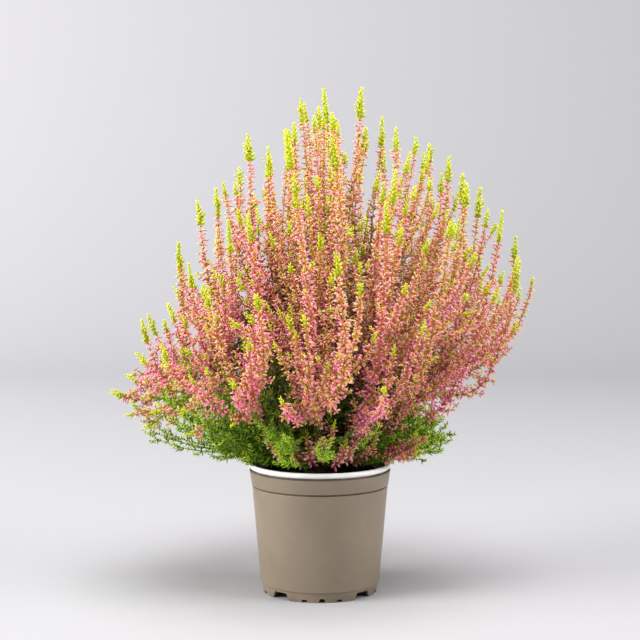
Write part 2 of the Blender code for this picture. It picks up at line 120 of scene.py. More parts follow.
@dataclass(frozen=True)
class PlantFinish:
    """Colours of a soft plant part, at its root and end, low and high on its stem."""

    name: str
    low_root: Triple
    low_end: Triple
    high_root: Triple
    high_end: Triple
    roughness: float
    hue_spread: float
    value_spread: float
    grain: float = 1500.0  # spots for each metre
    relief: float = 0.3
    depth: float = 0.0003  # metres that the relief stands out
    roughness_spread: float = 0.06
    gloss: float = 0.25
    glow: float = 0.35  # share of light that passes through
    glow_depth: float = 0.0015
    sheen: float = 0.0
    sheen_roughness: float = 0.4
    other: Triple | None = None  # what some of them fade to
    heart: Triple = (0.030, 0.018, 0.008)  # painted shade deep inside the plant, partly also the brown of withered inner parts
    painted_shade_at: float = 1.0  # how deep that painted shade is reached
    painted_shade_share: float = 0.56


@dataclass(frozen=True)
class MineralFinish:
    """Colours of a plastic, peat or bark, mottled and dusty."""

    name: str
    colour: Triple
    darker: Triple
    roughness: float
    roughness_spread: float
    mottle_scale: float
    relief: float
    grain: float = 900.0
    depth: float = 0.0002
    stretch: Triple = (1.0, 1.0, 1.0)
    dust: Triple | None = None
    dust_height: float = 0.0
    dust_share: float = 0.7


Finish = PlantFinish | MineralFinish


class Shader:
    """A node tree under construction, of a material or of a group."""

    def __init__(self, tree: bpy.types.NodeTree) -> None:
        """Works on the given tree."""
        self.tree = tree

    def node(
        self, kind: str, settings: dict[str, object] | None = None, **inputs: object
    ) -> bpy.types.Node:
        """Adds a node.

        Args:
            kind: the node's type name.
            settings: its properties.
            inputs: what goes into its inputs, as feed takes it.

        Returns:
            The new node.
        """
        made = self.tree.nodes.new(kind)
        for name, value in (settings or {}).items():
            setattr(made, name, value)
        self.feed(made, **inputs)
        return made

    def feed(self, node: bpy.types.Node, **inputs: object) -> None:
        """Fills inputs of a node.

        Args:
            node: the node.
            inputs: numbers, colours or outputs for its inputs, with _ for a space.
        """
        for name, value in inputs.items():
            self._fill(node.inputs[name.replace("_", " ")], value)

    def _fill(self, socket: Socket, value: object) -> None:
        """Links an input to an output, or gives it a number or colour.

        Args:
            socket: the input.
            value: the output, number or colour.
        """
        if isinstance(value, Socket):
            self.tree.links.new(value, socket)
        else:
            socket.default_value = (*value, 1.0) if socket.type == "RGBA" else value

    def trait(self, which: Trait) -> Socket:
        """Output that reads a trait of the mesh."""
        return self.node("ShaderNodeAttribute", {"attribute_name": which.value}).outputs["Fac"]

    def group(self, tree: bpy.types.NodeTree, **inputs: object) -> Outputs:
        """Outputs of a group that is placed here with inputs of its own."""
        return self.node("ShaderNodeGroup", {"node_tree": tree}, **inputs).outputs

    def times(self, first: Socket, second: Socket) -> Socket:
        """Product of two outputs.

        Args:
            first: an output.
            second: another.

        Returns:
            The output with the product.
        """
        made = self.node("ShaderNodeMath", {"operation": "MULTIPLY"})
        for socket, value in zip(made.inputs, (first, second)):
            self._fill(socket, value)
        return made.outputs["Value"]

    def mix(self, share: Socket, first: Socket | Triple, second: Socket | Triple) -> Socket:
        """Mixes two colours.

        Args:
            share: of the second.
            first: a colour or an output that gives one.
            second: the same.

        Returns:
            The output with the mixed colour.
        """
        made = self.node("ShaderNodeMix", {"data_type": "RGBA"}, Factor=share)
        for key, value in (("A", first), ("B", second)):
            self._fill(next(s for s in made.inputs if s.name == key and s.type == "RGBA"), value)
        return next(s for s in made.outputs if s.type == "RGBA")

    def spread(self, value: Socket, low: float, high: float, first: float, last: float) -> Socket:
        """Maps a value from one range to another, smoothly.

        Args:
            value: an output.
            low: start of its range.
            high: end of its range.
            first: what low becomes.
            last: what high becomes.

        Returns:
            The output with the mapped value.
        """
        spans = {"From_Min": low, "From_Max": high, "To_Min": first, "To_Max": last}
        smooth = {"interpolation_type": "SMOOTHSTEP"}
        return self.node("ShaderNodeMapRange", smooth, Value=value, **spans).outputs["Result"]


class Effects:
    """Node groups for the effects that several materials share."""

    def __init__(self) -> None:
        """Builds each group once."""
        self.relief = self._relief()
        self.mottle = self._mottle()
        self.tone = self._tone()

    @staticmethod
    def _group(
        name: str, inputs: dict[str, str], outputs: dict[str, str]
    ) -> tuple[Shader, Outputs, bpy.types.Node]:
        """Starts a group.

        Args:
            name: of the group.
            inputs: kind of each input, by its name.
            outputs: kind of each output, by its name.

        Returns:
            Its shader, the sockets that give its inputs, and the node that takes its outputs.
        """
        tree = bpy.data.node_groups.new(name, "ShaderNodeTree")
        for way, sockets in (("INPUT", inputs), ("OUTPUT", outputs)):
            for key, kind in sockets.items():
                tree.interface.new_socket(key, in_out=way, socket_type="NodeSocket" + kind)
        shader = Shader(tree)
        return shader, shader.node("NodeGroupInput").outputs, shader.node("NodeGroupOutput")

    def _relief(self) -> bpy.types.NodeTree:
        """Fine bumps from the place on the object.

        Returns:
            The group, which puts out a normal and a mask.
        """
        shader, given, made = self._group(
            "fine_relief",
            {"Place": "Vector", "Scale": "Float", "Strength": "Float", "Depth": "Float"},
            {"Normal": "Vector", "Mask": "Float"},
        )
        bumps = shader.node("ShaderNodeTexNoise", Vector=given["Place"], Scale=given["Scale"], Detail=5.0)
        mask = bumps.outputs["Fac"]
        bump = shader.node(
            "ShaderNodeBump", Height=mask, Strength=given["Strength"], Distance=given["Depth"]
        )
        shader.feed(made, Normal=bump.outputs["Normal"], Mask=mask)
        return shader.tree

    def _mottle(self) -> bpy.types.NodeTree:
        """Uneven patches of a second colour.

        Returns:
            The group, which puts out a colour and a mask.
        """
        shader, given, made = self._group(
            "mottle",
            {"Place": "Vector", "Color": "Color", "Patch": "Color", "Scale": "Float"},
            {"Color": "Color", "Mask": "Float"},
        )
        patches = shader.node(
            "ShaderNodeTexNoise", Vector=given["Place"], Scale=given["Scale"], Detail=6.0, Roughness=0.62
        )
        mask = shader.spread(patches.outputs["Fac"], 0.36, 0.66, 0.0, 1.0)
        shader.feed(made, Color=shader.mix(mask, given["Color"], given["Patch"]), Mask=mask)
        return shader.tree

    def _tone(self) -> bpy.types.NodeTree:
        """Each leaf's or floret's own shade of a colour.

        Returns:
            The group, which puts out a colour.
        """
        shader, given, made = self._group(
            "own_tone",
            {"Color": "Color", "Hue Low": "Float", "Hue High": "Float", "Dark": "Float", "Bright": "Float"},
            {"Color": "Color"},
        )
        luck = shader.trait(Trait.TONE)
        shift = shader.node("ShaderNodeHueSaturation", Color=given["Color"])
        for low, high, target in (("Hue Low", "Hue High", "Hue"), ("Bright", "Dark", "Value")):
            span = shader.node("ShaderNodeMapRange", Value=luck, To_Min=given[low], To_Max=given[high])
            shader.feed(shift, **{target: span.outputs["Result"]})
        shader.feed(made, Color=shift.outputs["Color"])
        return shader.tree


class Palette:
    """Makes the materials, each when its finish is first asked for."""

    def __init__(self) -> None:
        """Builds the shared effects."""
        self.effects = Effects()
        self.made: dict[Finish, bpy.types.Material] = {}

    def get(self, finish: Finish) -> bpy.types.Material:
        """The material of a finish.

        Args:
            finish: what it looks like.

        Returns:
            The same material each time.
        """
        if finish not in self.made:
            material = bpy.data.materials.new(finish.name)
            material.use_nodes = True
            dress = self._plant if isinstance(finish, PlantFinish) else self._mineral
            dress(finish, Shader(material.node_tree), material.node_tree.nodes["Principled BSDF"])
            self.made[finish] = material
        return self.made[finish]

    def _plant(self, finish: PlantFinish, shader: Shader, surface: bpy.types.Node) -> None:
        """Dresses a soft plant part.

        Args:
            finish: its colours and grain.
            shader: the material's tree.
            surface: its Principled shader.
        """
        along = shader.spread(shader.trait(Trait.ALONG), 0.10, 0.95, 0.0, 1.0)
        age = shader.spread(shader.trait(Trait.AGE), 0.05, 0.95, 0.0, 1.0)
        low = shader.mix(along, finish.low_root, finish.low_end)
        high = shader.mix(along, finish.high_root, finish.high_end)
        colour = shader.mix(age, low, high)
        if finish.other is not None:
            some = shader.spread(shader.trait(Trait.TONE), 0.62, 0.80, 0.0, 0.8)
            colour = shader.mix(some, colour, finish.other)
        own = shader.group(
            self.effects.tone,
            Color=colour,
            Hue_Low=0.5 - finish.hue_spread,
            Hue_High=0.5 + finish.hue_spread,
            Dark=1.0 - finish.value_spread,
            Bright=1.0 + finish.value_spread,
        )
        # Painted shade: the colour darkens to the heart colour the deeper inside the plant a corner lies,
        # where little light reaches; partly also the brown of withered inner parts.
        deep = shader.spread(shader.trait(Trait.DEEP), 0.0, finish.painted_shade_at, 0.0, finish.painted_shade_share)
        place = shader.node("ShaderNodeTexCoord").outputs["Object"]
        relief = self._relief(finish, shader, place)
        shader.feed(
            surface,
            Base_Color=shader.mix(deep, own["Color"], finish.heart),
            Normal=relief["Normal"],
            Roughness=self._roughness(finish, shader, relief["Mask"], (0.3, 0.7)),
            Specular_IOR_Level=finish.gloss,
            Subsurface_Weight=finish.glow,
            Subsurface_Scale=finish.glow_depth,
            Sheen_Weight=finish.sheen,
            Sheen_Roughness=finish.sheen_roughness,
        )

    def _mineral(self, finish: MineralFinish, shader: Shader, surface: bpy.types.Node) -> None:
        """Dresses plastic, peat or bark.

        Args:
            finish: its colours and relief.
            shader: the material's tree.
            surface: its Principled shader.
        """
        place = shader.node("ShaderNodeTexCoord").outputs["Object"]
        spot = shader.node("ShaderNodeMapping", Vector=place, Scale=finish.stretch).outputs["Vector"]
        patches = shader.group(
            self.effects.mottle,
            Place=spot,
            Color=finish.colour,
            Patch=finish.darker,
            Scale=finish.mottle_scale,
        )
        colour = patches["Color"]
        if finish.dust is not None:
            height = shader.node("ShaderNodeSeparateXYZ", Vector=place).outputs["Z"]
            low = shader.spread(height, 0.0, finish.dust_height, finish.dust_share, 0.0)
            colour = shader.mix(shader.times(low, patches["Mask"]), colour, finish.dust)
        shader.feed(
            surface,
            Base_Color=colour,
            Normal=self._relief(finish, shader, spot)["Normal"],
            Roughness=self._roughness(finish, shader, patches["Mask"], (0.0, 1.0)),
        )

    def _relief(self, finish: Finish, shader: Shader, place: Socket) -> Outputs:
        """Outputs of the fine relief, at the finish's own scale."""
        return shader.group(
            self.effects.relief,
            Place=place,
            Scale=finish.grain,
            Strength=finish.relief,
            Depth=finish.depth,
        )

    @staticmethod
    def _roughness(finish: Finish, shader: Shader, mask: Socket, span: Pair) -> Socket:
        """Roughness that follows a mask, over a span of its values."""
        least, most = finish.roughness - finish.roughness_spread, finish.roughness + finish.roughness_spread
        return shader.spread(mask, *span, least, most)


TAUPE = MineralFinish(
    name="taupe_plastic",
    colour=(0.224, 0.178, 0.126),
    darker=(0.203, 0.160, 0.112),
    roughness=0.42,
    roughness_spread=0.04,
    mottle_scale=26.0,
    relief=0.06,
    dust=(0.10, 0.072, 0.048),
    dust_height=0.010,
)
WHITE = MineralFinish(
    name="white_plastic",
    colour=(0.86, 0.87, 0.88),
    darker=(0.80, 0.80, 0.79),
    roughness=0.38,
    roughness_spread=0.04,
    mottle_scale=40.0,
    relief=0.05,
)
# Painted shade: a dark colour put on the pot's recess under the rolled rim and on the collar's groove,
# where shadow falls.
RECESS_SHADE = MineralFinish(
    name="painted_recess_shade",
    colour=(0.095, 0.072, 0.050),
    darker=(0.055, 0.042, 0.030),
    roughness=0.75,
    roughness_spread=0.05,
    mottle_scale=90.0,
    relief=0.2,
)
PEAT = MineralFinish(
    name="moist_peat",
    colour=(0.026, 0.016, 0.010),
    darker=(0.009, 0.006, 0.004),
    roughness=0.9,
    roughness_spread=0.08,
    mottle_scale=240.0,
    relief=0.9,
    grain=1300.0,
    depth=0.0006,
)
BARK = MineralFinish(
    name="bark",
    colour=(0.120, 0.070, 0.040),
    darker=(0.045, 0.026, 0.016),
    roughness=0.82,
    roughness_spread=0.08,
    mottle_scale=420.0,
    relief=0.8,
    depth=0.0005,
    stretch=(1.0, 1.0, 0.22),
)
LEAF = PlantFinish(
    name="heather_leaf",
    low_root=(0.060, 0.180, 0.012),
    low_end=(0.330, 0.640, 0.034),
    high_root=(0.220, 0.420, 0.016),
    high_end=(0.560, 0.790, 0.060),
    roughness=0.5,
    hue_spread=0.024,
    value_spread=0.54,
    relief=0.35,
    heart=(0.012, 0.014, 0.004),
    painted_shade_at=0.40,
    painted_shade_share=0.80,
)
TIP = PlantFinish(
    name="fresh_tip",
    low_root=(0.420, 0.500, 0.008),
    low_end=(0.530, 0.600, 0.012),
    high_root=(0.540, 0.620, 0.014),
    high_end=(0.650, 0.715, 0.060),
    roughness=0.5,
    hue_spread=0.012,
    value_spread=0.16,
)
FLORET = PlantFinish(
    name="heather_floret",
    low_root=(0.72, 0.036, 0.175),
    low_end=(0.86, 0.330, 0.405),
    high_root=(0.83, 0.125, 0.135),
    high_end=(0.85, 0.550, 0.480),
    roughness=0.55,
    hue_spread=0.036,
    value_spread=0.22,
    grain=1200.0,
    relief=0.35,
    sheen=0.05,
    other=(0.950, 0.590, 0.190),
)
BRACT = PlantFinish(
    name="bract",
    low_root=(0.400, 0.340, 0.020),
    low_end=(0.700, 0.600, 0.050),
    high_root=(0.620, 0.460, 0.040),
    high_end=(0.900, 0.760, 0.110),
    roughness=0.55,
    hue_spread=0.03,
    value_spread=0.25,
)
STEM = PlantFinish(
    name="flower_stem",
    low_root=(0.460, 0.160, 0.045),
    low_end=(0.460, 0.160, 0.045),
    high_root=(0.640, 0.260, 0.060),
    high_end=(0.640, 0.260, 0.060),
    roughness=0.6,
    hue_spread=0.015,
    value_spread=0.2,
    grain=900.0,
    relief=0.5,
)


# Meshes


@dataclass(frozen=True)
class Form:
    """A small template: it grows along +Z from the origin and is one unit long."""

    points: Array
    faces: Array


def spindle(sides: int, rings: tuple[Pair, ...]) -> Form:
    """Closed pointed form.

    Args:
        sides: of each ring.
        rings: height and radius of each ring, both in lengths.

    Returns:
        The form, with a point at each end.
    """
    points = [(0.0, 0.0, 0.0)]
    for level, (height, radius) in enumerate(rings):
        for side in range(sides):
            turn = 2.0 * math.pi * (side + 0.5 * level) / sides
            points.append((radius * math.cos(turn), radius * math.sin(turn), height))
    points.append((0.0, 0.0, 1.0))
    faces = []
    top = 1 + (len(rings) - 1) * sides
    for side in range(sides):
        after = (side + 1) % sides
        faces.append((0, 1 + after, 1 + side))
        for low in range(1, top, sides):
            high = low + sides
            faces.append((low + side, low + after, high + side))
            faces.append((low + after, high + after, high + side))
        faces.append((top + side, top + after, len(points) - 1))
    return Form(np.array(points), np.array(faces))


def needle(width: float, flatness: float) -> Form:
    """Slim three-sided leaf, widest at its root.

    Args:
        width: from its middle to its edge, in lengths.
        flatness: its thickness, as a share of its width.

    Returns:
        The form.
    """
    points = [(0.0, 0.0, 1.0)]
    for side in range(3):
        turn = 2.0 * math.pi * side / 3.0
        points.append((width * math.cos(turn), width * math.sin(turn) * flatness, 0.0))
    return Form(np.array(points), np.array([(1, 2, 0), (2, 3, 0), (3, 1, 0), (3, 2, 1)]))


BUD = spindle(3, ((0.30, 0.16), (0.72, 0.19)))
SMALL_BUD = spindle(4, ((0.55, 0.18),))
INNER_BUD = spindle(3, ((0.55, 0.20),))
SMALL_LEAF = needle(0.19, 0.8)
TIP_LEAF = spindle(3, ((0.38, 0.19),))
CRUMB = spindle(4, ((0.45, 0.42),))


def bands(rings: int, sides: int) -> tuple[Array, Array]:
    """Triangles that join closed rings of corners, two in each cell.

    Args:
        rings: how many.
        sides: corners of each ring.

    Returns:
        The first and the second triangle of each cell, by ring and side.
    """
    low = (np.arange(rings - 1) * sides)[:, None]
    here = np.arange(sides)[None, :]
    after = (here + 1) % sides
    first = np.stack((low + here, low + after, low + sides + here), axis=-1)
    second = np.stack((low + after, low + sides + after, low + sides + here), axis=-1)
    return first, second


def unit(vectors: Array) -> Array:
    """Vectors of the same directions, one long."""
    return vectors / np.linalg.norm(vectors, axis=-1, keepdims=True)


def bow(root: Array, middle: Array, end: Array, steps: int) -> Array:
    """Points of an even bow from root to end, drawn towards middle."""
    share = np.linspace(0.0, 1.0, steps + 1)[:, None]
    return root * (1.0 - share) ** 2 + middle * 2.0 * share * (1.0 - share) + end * share**2


def draw(luck: Luck, span: Pair) -> float:
    """A number within a span."""
    return float(luck.uniform(*span))


@dataclass(frozen=True)
class Canopy:
    """Outline of the whole plant, which tells how deep inside it a place lies."""

    heights: tuple[float, ...] = (0.108, 0.118, 0.130, 0.150, 0.200, 0.270, 0.315, 0.357, 0.388, 0.420)
    radii: tuple[float, ...] = (0.050, 0.070, 0.105, 0.145, 0.162, 0.157, 0.130, 0.105, 0.070, 0.020)
    widest: int = 4  # index of the level where it is widest
    lean_heights: Pair = (0.20, 0.32)
    lean: float = 0.040
    # depths over which the painted shade grows from none to full
    shade_depths: Pair = (0.052, 0.132)
    inner: float = 0.046
    hidden: float = 0.100
    kept: float = 0.4  # share that is kept of what is hidden

    def depth(self, points: Array) -> Array:
        """How deep some points lie.

        Args:
            points: one in each row.

        Returns:
            Metres from each point to the outline, below 0 outside it.
        """
        x, y, z = points.T
        radius = np.hypot(x - np.interp(z, self.lean_heights, (0.0, self.lean)), y)
        side = np.interp(z, self.heights, self.radii) - radius
        shoulder = slice(None, self.widest - 1, -1)
        return np.minimum(side, np.interp(radius, self.radii[shoulder], self.heights[shoulder]) - z)

    def shade(self, points: Array) -> Array:
        """How far each point lies from the outside, 0, towards the heart, 1, which sets its painted shade.
        """
        return np.interp(self.depth(points), self.shade_depths, (0.0, 1.0))

    def seen(self, points: Array, luck: Luck) -> Array:
        """Which of the points keep their floret or leaf: fewer of them, the deeper they lie."""
        share = np.interp(self.depth(points), (self.inner, self.hidden), (1.0, self.kept))
        return luck.uniform(size=len(points)) < share


CANOPY = Canopy()


class Way:
    """A stem's line, which can be read at any distance along it."""

    ASKEW = (0.31, 0.87, -0.38)  # no stem points this way

    def __init__(self, points: Array) -> None:
        """Measures the line.

        Args:
            points: of the line, one in each row.
        """
        self.points = points
        self.marks = np.concatenate(([0.0], np.cumsum(np.linalg.norm(np.diff(points, axis=0), axis=1))))
        self.length = float(self.marks[-1])
        self.along = unit(np.gradient(points, self.marks, axis=0))
        aside = np.cross(unit(self.along.mean(axis=0)), self.ASKEW)
        self.side = unit(aside - self.along * (self.along @ aside)[:, None])

    def at(self, marks: Array) -> tuple[Array, Array, Array, Array]:
        """Places and directions at some distances.

        Args:
            marks: distances from the start.

        Returns:
            Points, directions along, directions aside and across, one row for each mark.
        """
        read = [
            np.stack([np.interp(marks, self.marks, table[:, i]) for i in range(3)], axis=1)
            for table in (self.points, self.along, self.side)
        ]
        along = unit(read[1])
        side = unit(read[2] - along * np.sum(read[2] * along, axis=1, keepdims=True))
        return read[0], along, side, np.cross(along, side)

    def part(self, first: float, last: float, steps: int) -> "Way":
        """The line between two distances."""
        return Way(self.at(np.linspace(first, last, steps))[0])


@dataclass
class Stand:
    """Places on a way where leaves or florets stand in crosswise pairs, one row for each."""

    places: Array
    along: Array
    side: Array
    across: Array
    share: Array  # of the way's length
    turn: Array  # radians round the way

    @classmethod
    def on(cls, way: Way, marks: Array) -> "Stand":
        """Two opposite places at each mark, each pair a quarter turned from the last.

        Args:
            way: the stem's line.
            marks: distances along it.

        Returns:
            The places.
        """
        share = np.repeat(np.clip(marks / way.length, 0.0, 1.0), 2)
        step = np.arange(len(share))
        turn = (step // 2) * (math.pi / 2.0) + (step % 2) * math.pi
        return cls(*way.at(share * way.length), share, turn)

    def only(self, kept: Array) -> "Stand":
        """Some of the places."""
        rows = (self.places, self.along, self.side, self.across, self.share, self.turn)
        return Stand(*(row[kept] for row in rows))

    def out(self) -> Array:
        """Directions straight out of the way."""
        return np.cos(self.turn)[:, None] * self.side + np.sin(self.turn)[:, None] * self.across

    def aims(self, lift: Array) -> Array:
        """Directions out of the way, lifted along it by some radians."""
        return self.out() * np.cos(lift)[:, None] + self.along * np.sin(lift)[:, None]


class Thicket:
    """Gathers many small forms and tubes into one mesh, with their traits."""

    KNOB_PITCH = 260.0  # of rough bark, for each metre
    KNOB_STRETCH = 0.4
    ROOT_CAP = 0.3  # how far a tube's root stands out, in its radii

    def __init__(self) -> None:
        """Starts with nothing."""
        self.points: list[Array] = []
        self.faces: list[Array] = []
        self.slots: list[Array] = []
        self.traits: dict[Trait, list[Array]] = {Trait.ALONG: [], Trait.AGE: [], Trait.TONE: []}
        self.finishes: list[Finish] = []
        self.corners = 0

    def take(
        self,
        points: Array,
        faces: Array,
        finish: Finish,
        along: Array,
        age: Array,
        tone: Array,
    ) -> None:
        """Adds corners and triangles.

        Args:
            points: the corners.
            faces: corners of each triangle.
            finish: of them all.
            along: trait of each corner.
            age: trait of each corner.
            tone: trait of each corner.
        """
        if finish not in self.finishes:
            self.finishes.append(finish)
        self.points.append(points)
        self.faces.append(faces + self.corners)
        self.slots.append(np.full(len(faces), self.finishes.index(finish)))
        for gathered, values in zip(self.traits.values(), (along, age, tone)):
            gathered.append(values)
        self.corners += len(points)

    def copies(
        self,
        form: Form,
        finish: Finish,
        roots: Array,
        aims: Array,
        sizes: Array,
        age: Array,
        tone: Array,
        girth: float = 1.0,
    ) -> None:
        """Adds a copy of a form at each root.

        Args:
            form: the template.
            finish: of all copies.
            roots: where each copy starts.
            aims: the way each copy points.
            sizes: length of each.
            age: trait of each.
            tone: trait of each.
            girth: width of all, as a share of the template's.
        """
        if len(roots) == 0:
            return
        aims = unit(aims)
        level = np.where(np.abs(aims[:, 2:]) < 0.9, [[0.0, 0.0, 1.0]], [[1.0, 0.0, 0.0]])
        aside = unit(np.cross(level, aims))
        across = np.cross(aims, aside)
        spots = form.points[None, :, :] * sizes[:, None, None]
        made = (
            roots[:, None, :]
            + spots[:, :, 0:1] * girth * aside[:, None, :]
            + spots[:, :, 1:2] * girth * across[:, None, :]
            + spots[:, :, 2:3] * aims[:, None, :]
        )
        count, corners = len(roots), len(form.points)
        faces = form.faces[None] + (np.arange(count) * corners)[:, None, None]
        self.take(
            made.reshape(-1, 3),
            faces.reshape(-1, 3),
            finish,
            np.tile(form.points[:, 2], count),
            np.repeat(age, corners),
            np.repeat(tone, corners),
        )

    def tube(
        self,
        way: Way,
        radii: Pair,
        finish: Finish,
        sides: int = 3,
        spacing: float = 0.004,
        age: Pair = (0.0, 1.0),
        tone: float = 0.5,
        rough: float = 0.0,
    ) -> None:
        """Adds a closed tapering tube along a way.

        Args:
            way: its line.
            radii: at its two ends.
            finish: of it all.
            sides: of its section.
            spacing: between its rings.
            age: trait at its two ends.
            tone: trait of it all.
            rough: how uneven it is, as a share of its radius.
        """
        count = max(2, round(way.length / spacing) + 1)
        share = np.linspace(0.0, 1.0, count)
        places, along, side, across = way.at(share * way.length)
        turns = 2.0 * math.pi * np.arange(sides) / sides
        radius = radii[0] + (radii[1] - radii[0]) * share
        out = (
            np.cos(turns)[None, :, None] * side[:, None, :]
            + np.sin(turns)[None, :, None] * across[:, None, :]
        )
        rings = places[:, None, :] + out * radius[:, None, None]
        if rough > 0.0:
            for ring, corner in np.ndindex(count, sides):
                spot = Vector(rings[ring, corner]) * self.KNOB_PITCH
                spot.z *= self.KNOB_STRETCH
                rings[ring, corner] += out[ring, corner] * radius[ring] * rough * noise.noise(spot)
        root = places[:1] - along[:1] * radii[0] * self.ROOT_CAP
        end = places[-1:] + along[-1:] * radii[1]
        corners, last = count * sides, (count - 1) * sides
        caps = []
        for here in range(sides):
            after = (here + 1) % sides
            caps += [(corners, after, here), (corners + 1, last + here, last + after)]
        first, second = bands(count, sides)
        ages = age[0] + (age[1] - age[0]) * share
        self.take(
            np.concatenate((rings.reshape(-1, 3), root, end)),
            np.concatenate((np.array(caps), first.reshape(-1, 3), second.reshape(-1, 3))),
            finish,
            np.concatenate((np.repeat(share, sides), [0.0, 1.0])),
            np.concatenate((np.repeat(ages, sides), age)),
            np.full(corners + 2, tone),
        )

    def make(self, palette: Palette, name: str, slot: Slot, *nodes: str) -> bpy.types.Object:
        """Makes the piece, which rides on the root body and stands for its nodes.

        Args:
            palette: gives its materials.
            name: of the piece.
            slot: the record's slot for its finish.
            nodes: the nodes that it replaces.

        Returns:
            The piece.
        """
        points, faces = np.concatenate(self.points), np.concatenate(self.faces)
        mesh = bpy.data.meshes.new(name)
        mesh.vertices.add(len(points))
        mesh.loops.add(faces.size)
        mesh.polygons.add(len(faces))
        mesh.vertices.foreach_set("co", points.astype(np.float32).ravel())
        mesh.loops.foreach_set("vertex_index", faces.astype(np.int32).ravel())
        mesh.polygons.foreach_set("loop_start", np.arange(0, faces.size, 3, dtype=np.int32))
        mesh.polygons.foreach_set("material_index", np.concatenate(self.slots).astype(np.int32))
        mesh.polygons.foreach_set("use_smooth", np.ones(len(faces), dtype=bool))
        traits = {trait: np.concatenate(values) for trait, values in self.traits.items()}
        # how deep each corner lies, for the painted shade
        traits[Trait.DEEP] = CANOPY.shade(points)
        for trait, values in traits.items():
            layer = mesh.attributes.new(trait.value, "FLOAT", "POINT")
            layer.data.foreach_set("value", values.astype(np.float32))
        for finish in self.finishes:
            mesh.materials.append(palette.get(finish))
        mesh.update(calc_edges=True)
        return place_piece(name, mesh, slot, *nodes)


def new_object(name: str, data: bpy.types.ID) -> bpy.types.Object:
    """A new object in the scene."""
    made = bpy.data.objects.new(name, data)
    bpy.context.scene.collection.objects.link(made)
    return made


def place_piece(name: str, mesh: bpy.types.Mesh, slot: Slot, *nodes: str) -> bpy.types.Object:
    """Links a mesh as a piece that rides on the root body.

    Args:
        name: of the piece.
        mesh: its shape.
        slot: the record's slot for its finish; not used.
        nodes: the nodes that it replaces.

    Returns:
        The piece.
    """
    piece = new_object(name, mesh)
    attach(piece, "root")
    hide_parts(*nodes)
    log.info("%s: %d faces", name, len(mesh.polygons))
    return piece


# Growth


def cubic(t: float, handles: Handles) -> float:
    """A smooth curve with four handles.

    Args:
        t: how far along it, from 0 to 1.
        handles: values that it is drawn to.

    Returns:
        Its value.
    """
    a, b, c, d = handles
    s = 1.0 - t
    return a * s**3 + 3.0 * b * s**2 * t + 3.0 * c * s * t**2 + d * t**3


def sunflower(count: int, turn: float, reach: float) -> list[Vector]:
    """Places spread evenly over a disc, as seeds in a sunflower's head.

    Args:
        count: how many.
        turn: angle of the first.
        reach: the disc's radius.

    Returns:
        The places.
    """
    places = []
    for i in range(count):
        distance = reach * math.sqrt((i + 0.5) / count)
        angle = turn + i * GOLDEN_ANGLE
        places.append(Vector((distance * math.cos(angle), distance * math.sin(angle))))
    return places


def nearest(place: Vector, others: list[Vector]) -> int:
    """Index of the place in others that is nearest to place."""
    return min(range(len(others)), key=lambda i: (others[i] - place).length)


@dataclass(frozen=True)
class Growth:
    """The rule of growth that the solids follow."""

    spread: Handles = (0.013, 0.112, 0.166, 0.184)
    height_axis: Handles = (0.110, 0.200, 0.305, 0.442)
    height_edge: Handles = (0.110, 0.134, 0.112, 0.312)
    sway: float = 0.020
    sway_pitch: float = 2.5
    sway_shifts: tuple[Vector, ...] = (
        Vector((0.0, 0.0, 5.0)),
        Vector((7.0, 3.0, 1.0)),
        Vector((2.0, 9.0, 4.0)),
    )
    lean: Vector = field(default_factory=lambda: Vector((-0.013, 0.0048, 0.0)))
    droop: float = 0.075
    droop_turn: float = math.pi
    droop_width: float = 0.26
    left_shortfall: float = 0.20
    uneven: float = 0.07
    right_evenness: float = 0.8
    flower_start: Triple = (0.24, 0.17, 0.05)
    leafier: float = 0.13  # growth at the far left over which a flowering stem still bears leaves
    back: float = 0.3  # y from which fewer leaves are borne
    back_share: float = 0.6

    def flow(self, place: Vector, t: float) -> Vector:
        """Follows a stem.

        Args:
            place: on the disc.
            t: growth.

        Returns:
            The point that the stem has reached.
        """
        rho = place.length
        axis, edge = cubic(t, self.height_axis), cubic(t, self.height_edge)
        height = axis + (edge - axis) * rho**2
        off = math.remainder(math.atan2(place.y, place.x) - self.droop_turn, 2.0 * math.pi)
        height -= self.droop * rho**4 * t**2.5 * math.exp(-((off / self.droop_width) ** 2))
        spread = cubic(t, self.spread)
        point = Vector((place.x * spread, place.y * spread, height))
        spot = Vector((place.x, place.y, t)) * self.sway_pitch
        wander = Vector(noise.noise(spot + shift) for shift in self.sway_shifts)
        return point + wander * self.sway * t + self.lean * t

    def full(self, place: Vector, luck: float) -> float:
        """How far a shoot has grown.

        Args:
            place: on the disc.
            luck: from 0, which grows furthest, to 1.

        Returns:
            Its last growth.
        """
        shortfall = self.left_shortfall * math.sqrt(max(0.0, -place.x))
        uneven = self.uneven * (1.0 - self.right_evenness * min(max(0.0, place.x), 1.0))
        return 1.0 - shortfall - uneven * luck

    def flowers_from(self, place: Vector) -> float:
        """Growth at which a stem at a place turns from leaves to florets."""
        start, edge, left = self.flower_start
        return start + edge * place.length + left * max(0.0, -place.x)

    def green(self, place: Vector) -> float:
        """Growth over which a flowering stem at a place still bears leaves."""
        return self.leafier * max(0.0, -place.x) * (1.0 if place.y < self.back else self.back_share)


GROWTH = Growth()


